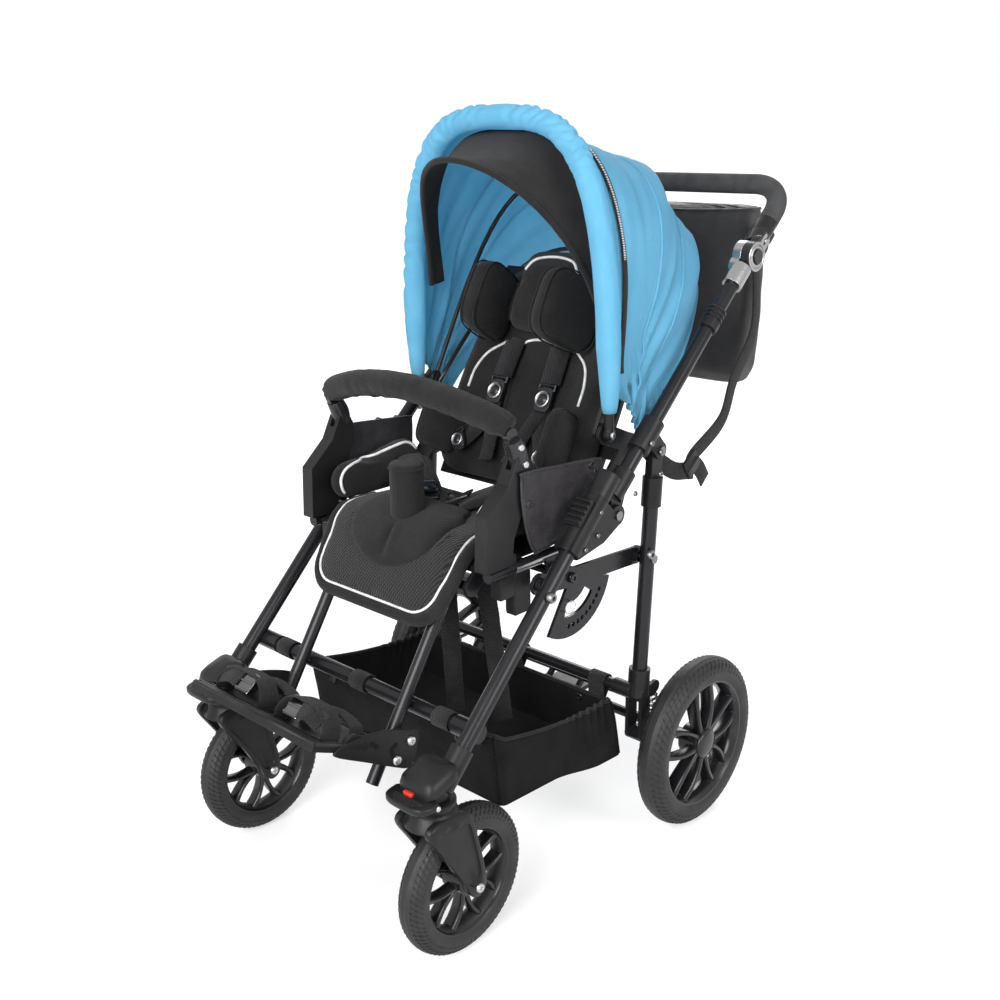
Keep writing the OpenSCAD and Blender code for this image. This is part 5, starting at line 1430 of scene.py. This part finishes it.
def bag():
    low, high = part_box("bag")
    rings = [bag_ring(k / 32, low.z, high.z) for k in range(33)]
    sack = subdivide(build("bag_sack", loft(rings), NYLON, "handle_frame"))
    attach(sack, "handle_frame")
    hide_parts("bag")
    hem = [p + Vector((0, 0, 0.001)) for p in rings[-2]]
    build("bag_hem", tube(hem, 0.003, 8, (0, 0, 1), True), NYLON, "handle_frame")
    pocket = [Vector((x, BAG_REAR + 0.0005, low.z + 0.115 + z)) for x, z in pad_outline(0.26, 0.16, 0.25, 60)]
    build("bag_pocket_seam", tube(pocket, 0.0022, 8, (0, 1, 0), True), NYLON, "handle_frame")


def bag_straps():
    """Webbing from the handle hinges over the bag and down to the frame, with its buckles."""
    straps = []
    clasps = []
    for s in (NEAR, FAR):
        hinge = side(s * 0.2365, 0.1774, 0.9559)
        upper = [hinge + Vector((0, 0.012, 0.004))] + sides(s, (0.218, 0.225, 0.965), (0.190, 0.300, 0.985))
        straps.append(strap(curve(upper, 8), 0.030, STRAP_THICK, (s, 0, 0)))
        for steps, wide, lean, points in BAG_STRAPS:
            straps.append(strap(curve(sides(s, *points), steps), wide, STRAP_THICK, (s, lean, 0)))

        def place(a, b, out, s=s):
            return side(s * (0.2265 + out), 0.070 + 0.8 * a - 0.6 * b, 0.617 + 0.6 * a + 0.8 * b)
        clasps.append(plate(pad_outline(0.040, 0.036, 0.25, 36), 0.006, place))
        clasps.append(tube([place(-0.017, 0.0, 0.006), place(0.017, 0.0, 0.006)], 0.0026, 8))
    build("bag_webbing", joined(*straps), WEBBING, "handle_frame", 50)
    build("bag_buckles", joined(*clasps), PLASTIC, "handle_frame", 40)


# Wheels

WHEELS = (("rear", 0.150, 0.050, 0.1125, 0.042, (0.026, 0.041), True),
          ("front", 0.116, 0.043, 0.085, 0.036, (0.021, 0.043), False))


def tyre(name, centre, body, node, radius, section):
    """Tyre with a low tread: fine grooves round it and a raised line on each wall."""
    profile = []
    core = radius - section / 2
    for turn in turns(72):
        size = section / 2
        crown = cos(turn)
        size -= 0.0011 * (abs(((turn + 0.16) % 0.32) - 0.16) < 0.035) * (crown > 0.55)
        size += 0.0007 * (abs(abs(sin(turn)) - 0.93) < 0.02) * (crown > -0.2)
        profile.append((core + size * crown, size * sin(turn)))
    made = build(name, lathe(profile, centre, (1, 0, 0), 120, closed=True), RUBBER, body)
    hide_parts(node)
    lugs = []
    face = section / 2 + 0.0002
    for k in range(72):
        turn = tau * (k + 0.5) / 72
        for s in (NEAR, FAR):
            points = []
            for j in range(7):
                lean = radians(28 + 9 * j)
                spot = turn + 0.02 * j * s
                far = core + face * cos(lean)
                points.append(centre + Vector((s * face * sin(lean), far * cos(spot), far * sin(spot))))
            lugs.append(tube(points, 0.0008, 5, (1, 0.1, 0)))
    build(name + "_tread", joined(*lugs), RUBBER, body)


def blade(centre, turn, s, start, stop, width, cap_side):
    """One curved blade of a pair, from the hub out to the rim."""
    rings = []
    for share in [k / 12 for k in range(13)]:
        far = start + (stop - start) * share
        fan = s * (0.0085 + 0.012 * share + 0.006 * sin(pi * share))
        out = cap_side * (0.012 - 0.010 * share ** 2) * width / 0.05
        wide = 0.0062 - 0.002 * sin(pi * share)
        deep = (0.013 + 0.004 * share) * width / 0.05
        ring = []
        for a in turns(14):
            across = fan + wide * signed_power(cos(a), 0.6)
            ring.append(centre + Vector((out + deep * signed_power(sin(a), 0.6),
                                         far * cos(turn) - across * sin(turn),
                                         far * sin(turn) + across * cos(turn))))
        rings.append(ring)
    return loft(rings)


def wheel_rim(name, centre, body, node, rim_radius, width, hub, cap_side):
    """Spoked rim: a dished ring, five pairs of curved blades, a hub and its cap."""
    inner = rim_radius * 0.86
    half = width / 2
    hub_radius, hub_wide = hub
    ring = ((rim_radius + 0.004, -half), (rim_radius + 0.005, -half * 0.86), (rim_radius, -half * 0.7),
            (rim_radius, half * 0.7), (rim_radius + 0.005, half * 0.86), (rim_radius + 0.004, half),
            (rim_radius - 0.004, half), (rim_radius - 0.0065, half * 0.84), (inner + 0.002, half * 0.3),
            (inner + 0.002, -half * 0.3), (rim_radius - 0.0065, -half * 0.84), (rim_radius - 0.004, -half))
    barrel = ((hub_radius * 0.82, -hub_wide / 2), (hub_radius, -hub_wide / 2 + 0.003),
              (hub_radius, hub_wide / 2 - 0.003), (hub_radius * 0.82, hub_wide / 2))
    parts = [lathe(ring, centre, (1, 0, 0), 96, closed=True), lathe(barrel, centre, (1, 0, 0), 40)]
    for turn in turns(5):
        for s in (FAR, NEAR):
            parts.append(blade(centre, turn + pi / 2, s, hub_radius * 0.7, inner + 0.006, width, cap_side))
    made = build(name, joined(*parts), GLOSS, body, 40)
    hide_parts(node)
    if cap_side:
        profile = ((hub_radius, 0), (hub_radius, 0.003), (hub_radius * 0.92, 0.0055),
                   (hub_radius * 0.5, 0.0075), (0.0006, 0.008))
        seat = centre + Vector((cap_side * (hub_wide / 2 - 0.001), 0, 0))
        build(name + "_cap", lathe(profile, seat, (cap_side, 0, 0), 40), GLOSS, body, 50)
    valve = centre + Vector((0.004 * (cap_side or 1), inner * 0.72, -inner * 0.5))
    stem = tube([valve, valve + (centre - valve).normalized() * 0.022],
                lambda share, turn: 0.0032 if share < 0.5 else 0.0026, 10)
    build(name + "_valve", stem, RUBBER, body)


def wheels():
    for s, word in ((NEAR, "left"), (FAR, "right")):
        for end, radius, section, rim_radius, width, hub, capped in WHEELS:
            body = f"{end}_wheel_{word}"
            tyre_node = f"{end}_tyre_{word}"
            axle = pivot(body)
            low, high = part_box(tyre_node)
            centre = Vector(((low.x + high.x) / 2, axle.y, axle.z))
            tyre(f"{tyre_node}_tread_form", centre, body, tyre_node, radius, section)
            wheel_rim(f"{end}_spokes_{word}", centre, body, f"{end}_rim_{word}", rim_radius, width, hub,
                      s if capped else 0)


# Forks, swivel locks and small metal parts

FORK_ACROSS = 0.245
FORK_CROWN = ((0.010, 0.2745), (0.030, 0.2745), (0.033, 0.272), (0.033, 0.263), (0.0312, 0.260),
              (0.0345, 0.257), (0.0375, 0.249), (0.0425, 0.242), (0.0435, 0.238), (0.030, 0.2365),
              (0.010, 0.2365))
FORK_POINTS = ((-0.609, 0.247), (-0.606, 0.233), (-0.588, 0.205), (-0.563, 0.166), (-0.541, 0.130),
               (-0.532, 0.110), (-0.519, 0.099), (-0.505, 0.103), (-0.499, 0.118), (-0.503, 0.148),
               (-0.514, 0.195), (-0.524, 0.234), (-0.533, 0.249), (-0.566, 0.256), (-0.597, 0.255))
FORK_MID = (-0.548, 0.188)
FORK_LEVELS = ((0.95, 0.0245), (1.0, 0.0262), (1.0, 0.0345), (0.965, 0.0372), (0.80, 0.0385), (0.74, 0.0384),
               (0.71, 0.0352), (0.30, 0.0350), (0.04, 0.0350))
FORK_BOLT = ((0.0075, 0), (0.0075, 0.003), (0.006, 0.0052), (0.003, 0.0054), (0.0024, 0.003), (0.0003, 0.003))
LOCK_PIN = ((0.004, 0), (0.004, 0.002), (0.003, 0.003), (0.0003, 0.0031))
CAP_LEVELS = ((0.86, 0.2985), (1.0, 0.302), (1.0, 0.309), (0.93, 0.317), (0.74, 0.323), (0.35, 0.326),
              (0.05, 0.3265))


def fork(word, s):
    """Moulded fork: a flared crown and two legs, each with a sunk panel."""
    middle = s * FORK_ACROSS
    parts = [lathe(FORK_CROWN, side(middle, -0.567, 0), (0, 0, 1), 56)]
    outline = ring_outline(FORK_POINTS, 5)
    axle = pivot(f"front_wheel_{word}")
    bolts = []
    for leg in (NEAR, FAR):
        parts.append(loft([[side(middle + leg * out, y, z) for y, z in scaled(outline, FORK_MID, scale)]
                           for scale, out in FORK_LEVELS]))
        bolts.append(lathe(FORK_BOLT, Vector((middle + leg * 0.0365, axle.y, axle.z)), (leg, 0, 0), 24))
    made = build(f"fork_{word}_form", joined(*parts), PLASTIC, f"caster_{word}", 50)
    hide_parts(f"fork_{word}")
    bolts.append(tube([Vector((middle + x, axle.y, axle.z)) for x in (-0.036, 0.036)], 0.0045, 14))
    build(f"front_axle_{word}", joined(*bolts), STEEL, f"caster_{word}", 40)


def swivel_lock(word, s):
    """Foot pedal with ridges and a red button, under a moulded cap."""
    middle = s * FORK_ACROSS
    hinge = pivot(f"swivel_lock_{word}")
    outline = []
    for turn in turns(48):
        deep = 0.030 if sin(turn) < 0 else 0.010
        outline.append((0.042 * signed_power(cos(turn), 0.5), deep * signed_power(sin(turn), 0.7)))

    def place(x, y, out):
        return Vector((middle + x, hinge.y + y - 0.002, hinge.z - 0.001 + out))

    def button_place(x, y, out):
        return place(x - s * 0.006, y - 0.006, 0.0095 + out)
    pedal = [plate(outline, 0.010, place, 0.002)]
    for k in range(5):
        run = -0.012 - 0.0035 * k
        wide = 0.030 * sqrt(max(0.05, 1 - (run / 0.031) ** 2))
        pedal.append(tube([place(-wide, run, 0.0100), place(wide, run, 0.0100)], 0.0011, 6))
    made = build(f"lock_pedal_{word}", joined(*pedal), PLASTIC, f"swivel_lock_{word}", 50)
    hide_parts(f"swivel_lock_{word}")
    button = plate(pad_outline(0.017, 0.010, 0.3, 28), 0.006, button_place)
    build(f"lock_button_{word}", button, RED, f"swivel_lock_{word}", 40)
    pins = [lathe(LOCK_PIN, Vector((middle + d * 0.0415, hinge.y, hinge.z + 0.003)), (d, 0, 0), 18)
            for d in (NEAR, FAR)]
    build(f"lock_pins_{word}", joined(*pins), STEEL, f"swivel_lock_{word}", 40)
    base = pad_outline(0.070, 0.062, 0.42, 48)
    rings = []
    for scale, high in CAP_LEVELS:
        rings.append([side(middle + x * scale, -0.574 + y * scale, high + 0.30 * (y * scale))
                      for x, y in base])
    build(f"caster_cap_{word}", loft(rings), PLASTIC, "front_frame", 50)


RIVET_PLACES = ((-0.080, 0.032), (-0.049, 0.0223), (-0.0196, 0.0424))
FRAME_BOLTS = (
    ("upper_rivets", DARK_STEEL, "handle_frame", ((0.2735, -0.109, 0.696, 0.0046, 0.003),
                                                  (0.2735, -0.083, 0.677, 0.0046, 0.003),
                                                  (0.2720, -0.147, 0.624, 0.0042, 0.003))),
    ("rear_bolts", DARK_STEEL, "rear_frame", ((0.2705, -0.079, 0.640, 0.0045, 0.003),
                                              (0.2670, -0.097, 0.509, 0.0085, 0.007))),
    ("front_nuts", DARK_STEEL, "front_frame", ((0.2675, -0.343, 0.511, 0.0085, 0.008),)),
    ("tilt_bolts", GLOSS, "tilt_frame", ((0.2345, -0.253, 0.507, 0.0085, 0.006),)),
)


def frame_bolts():
    """Socket screws, nuts and rivets on the frame joints."""
    rivets = []
    for s in (NEAR, FAR):
        for run, lift in RIVET_PLACES:
            spot = pivot("frame_fold") + step(45.1, run) + step(135.1, lift)
            rivets.append(bolt_head(Vector((s * 0.2712, spot.y, spot.z)), (s, 0, 0), 0.0036, 0.0026))
    build("front_rivets", joined(*rivets), DARK_STEEL, "front_frame", 40)
    for name, finish, body, places in FRAME_BOLTS:
        heads = [bolt_head(side(s * x, y, z), (s, 0, 0), size, tall)
                 for s in (NEAR, FAR) for x, y, z, size, tall in places]
        build(name, joined(*heads), finish, body, 40)


GRIP_WAY = 42.6
HINGE_DISC = ((0.0125, 0), (0.0240, 0), (0.0245, 0.0012), (0.0232, 0.0024), (0.0205, 0.0024),
              (0.0195, 0.0012), (0.0180, 0.0012), (0.0170, 0.0026), (0.0140, 0.0026), (0.0125, 0.0012))
HINGE_ACROSS = 0.2690
GRIP_ACROSS = 0.254


def handle_hinges():
    """Ringed discs around the handle buttons, and the cord clips on the grip ends."""
    hinge = pivot("handle_angle")
    grip = hinge + step(GRIP_WAY, 0.062)
    discs = []
    clips = []
    for s in (NEAR, FAR):
        def clip(a, b, out, s=s):
            start = Vector((s * GRIP_ACROSS + b, grip.y, grip.z))
            return start + step(GRIP_WAY, a) + step(GRIP_WAY - 90, 0.015 + out)

        def arm(a, b, out, s=s):
            start = Vector((s * (HINGE_ACROSS + out), hinge.y, hinge.z))
            return start + step(GRIP_WAY, 0.022 + a) + step(GRIP_WAY + 90, b)
        centre = Vector((s * HINGE_ACROSS, hinge.y, hinge.z))
        discs.append(lathe(HINGE_DISC, centre, (s, 0, 0), 48, closed=True))
        middle = Vector((s * GRIP_ACROSS, grip.y, grip.z))
        clips.append(tube([middle + step(GRIP_WAY, run) for run in (-0.012, 0.016)], 0.0168, 24))
        clips.append(plate(pad_outline(0.022, 0.014, 0.3, 24), 0.012, clip))
        discs.append(plate(pad_outline(0.046, 0.022, 0.3, 40), 0.0014, arm))
        discs.append(bolt_head(arm(0.012, 0, 0.0014), (s, 0, 0), 0.004, 0.002))
    build("hinge_discs", joined(*discs), ALLOY, "push_handle", 40)
    build("grip_clips", joined(*clips), PLASTIC, "push_handle", 40)


def under_seat():
    """Rail box, slide tube and hanging webbing below the seat, and the ring of the tilt pin."""
    boxes = []
    tubes = []
    straps = []
    outline = pad_outline(0.036, 0.070, 0.16, 32)
    for s in (NEAR, FAR):
        def place(a, b, out, s=s):
            return side(s * (0.186 + out), -0.333 + a, 0.500 + b)
        boxes.append(plate(outline, 0.020, place, 0.002))
        tubes.append(tube(sides(s, (0.200, -0.348, 0.5405), (0.200, -0.244, 0.5405)), 0.0092, 18))
    for x, y, lean in ((0.035, -0.330, -0.012), (0.085, -0.300, 0.020)):
        route = sides(1, (x, y, 0.535), (x + lean * 0.4, y + 0.012, 0.420), (x + lean, y + 0.030, 0.225))
        straps.append(strap(curve(route, 8), 0.030, 0.0025, (0.8, -0.6, 0)))
    build("slide_boxes", joined(*boxes), PLASTIC, "seat", 40)
    build("slide_tubes", joined(*tubes), STEEL, "seat", 40)
    build("seat_webbing", joined(*straps), WEBBING, "seat", 50)
    ring = [side(0.2400, -0.262 + 0.012 * cos(turn), 0.462 + 0.010 * sin(turn)) for turn in turns(28)]
    build("pin_ring", tube(ring, 0.0008, 8, (1, 0, 0), True), STEEL, "tilt_frame")


# Floor, light and camera

FLOOR_HALF = 30
FLOOR_GLOW = (0.5, 1.9, 0.5, 0.85)
LIGHTS = (
    ("key", (0.7, -2.8, 1.75), (0, 0, 0.8), 2.2, 130),
    ("fill", (2.9, -0.2, 1.8), (0, 0, 0.6), 1.8, 62),
    ("back", (-1.6, 2.4, 2.4), (0, 0, 0.7), 1.8, 60),
)
CAMERA_PLACE = (1.2917, -1.3739, 1.1600)
CAMERA_YAW = 42.70
CAMERA_PITCH = -17.95
CAMERA_ROLL = -0.585
CAMERA_LENS = 42.02
CAMERA_SHIFT = (-0.00789, 0.00708)


def seen(tree):
    """1 for a ray that the camera sees straight, in a mirror or through glass."""
    ray = tree.nodes.new("ShaderNodeLightPath")
    out = ray.outputs["Is Camera Ray"]
    for name in ("Is Glossy Ray", "Is Transmission Ray"):
        larger = tree.nodes.new("ShaderNodeMath")
        larger.operation = "MAXIMUM"
        tree.links.new(out, larger.inputs[0])
        tree.links.new(ray.outputs[name], larger.inputs[1])
        out = larger.outputs[0]
    return out


def stage():
    """Plain pale floor that is seen as white, with the object's soft shadow on it."""
    made = dulled(finish_of("pale floor", (0.56, 0.56, 0.565), 0.6), 0.15)
    tree = made.node_tree
    away = add(made, "ShaderNodeVectorMath", {"operation": "LENGTH"})
    tree.links.new(place_in(made), away.inputs[0])
    lift = add(made, "ShaderNodeMath", {"operation": "MULTIPLY"})
    tree.links.new(seen(tree), lift.inputs[0])
    tree.links.new(spanned(made, away.outputs["Value"], *FLOOR_GLOW), lift.inputs[1])
    set_inputs(shader_of(made), {"Emission Color": (1, 1, 1, 1)})
    shader_in(made, "Emission Strength", lift.outputs[0])
    corners = [Vector((x, y, 0)) * FLOOR_HALF for x, y in ((-1, -1), (1, -1), (1, 1), (-1, 1))]
    build("floor", (corners, [(0, 1, 2, 3)]), made)


def light(name, place, aim, size, power):
    data = bpy.data.lights.new(name, "AREA")
    data.shape = "DISK"
    data.size = size
    data.energy = power
    lamp = bpy.data.objects.new(name, data)
    lamp.location = place
    lamp.rotation_euler = (Vector(aim) - Vector(place)).to_track_quat("-Z", "Y").to_euler()
    bpy.context.scene.collection.objects.link(lamp)


def world():
    made = bpy.data.worlds.new("studio")
    made.use_nodes = True
    tree = made.node_tree
    white = tree.nodes.new("ShaderNodeBackground")
    set_inputs(white, {"Color": (1, 1, 1, 1), "Strength": 1.0})
    room = tree.nodes["Background"]
    set_inputs(room, {"Color": (0.95, 0.97, 1, 1), "Strength": 0.42})
    mix = tree.nodes.new("ShaderNodeMixShader")
    tree.links.new(seen(tree), mix.inputs[0])
    tree.links.new(room.outputs[0], mix.inputs[1])
    tree.links.new(white.outputs[0], mix.inputs[2])
    tree.links.new(mix.outputs[0], tree.nodes["World Output"].inputs["Surface"])
    bpy.context.scene.world = made


def camera():
    data = bpy.data.cameras.new("camera")
    data.sensor_width = 36
    data.lens = CAMERA_LENS
    data.shift_x, data.shift_y = CAMERA_SHIFT
    eye = bpy.data.objects.new("camera", data)
    bpy.context.scene.collection.objects.link(eye)
    turn = Matrix.Rotation(radians(CAMERA_YAW), 3, "Z")
    turn = turn @ Matrix.Rotation(pi / 2 + radians(CAMERA_PITCH), 3, "X")
    turn = turn @ Matrix.Rotation(radians(CAMERA_ROLL), 3, "Z")
    eye.location = CAMERA_PLACE
    eye.rotation_euler = turn.to_euler()
    bpy.context.scene.camera = eye


finish_nodes()
canopy_rim()
canopy_cover()
inner_hoop()
visor()
seat_cushion()
horseshoe()
pommel()
hip_pads()
back_cushion()
headrest()
harness()
trunk_pads()
hip_belts()
side_panels()
bumper_bar()
foot_straps()
foot_ridges()
footplate_trim()
basket()
bag()
bag_straps()
wheels()
for hand, word in ((NEAR, "left"), (FAR, "right")):
    fork(word, hand)
    swivel_lock(word, hand)
frame_bolts()
handle_hinges()
under_seat()
stage()
world()
for lamp in LIGHTS:
    light(*lamp)
camera()
bpy.context.scene.view_settings.view_transform = "Standard"
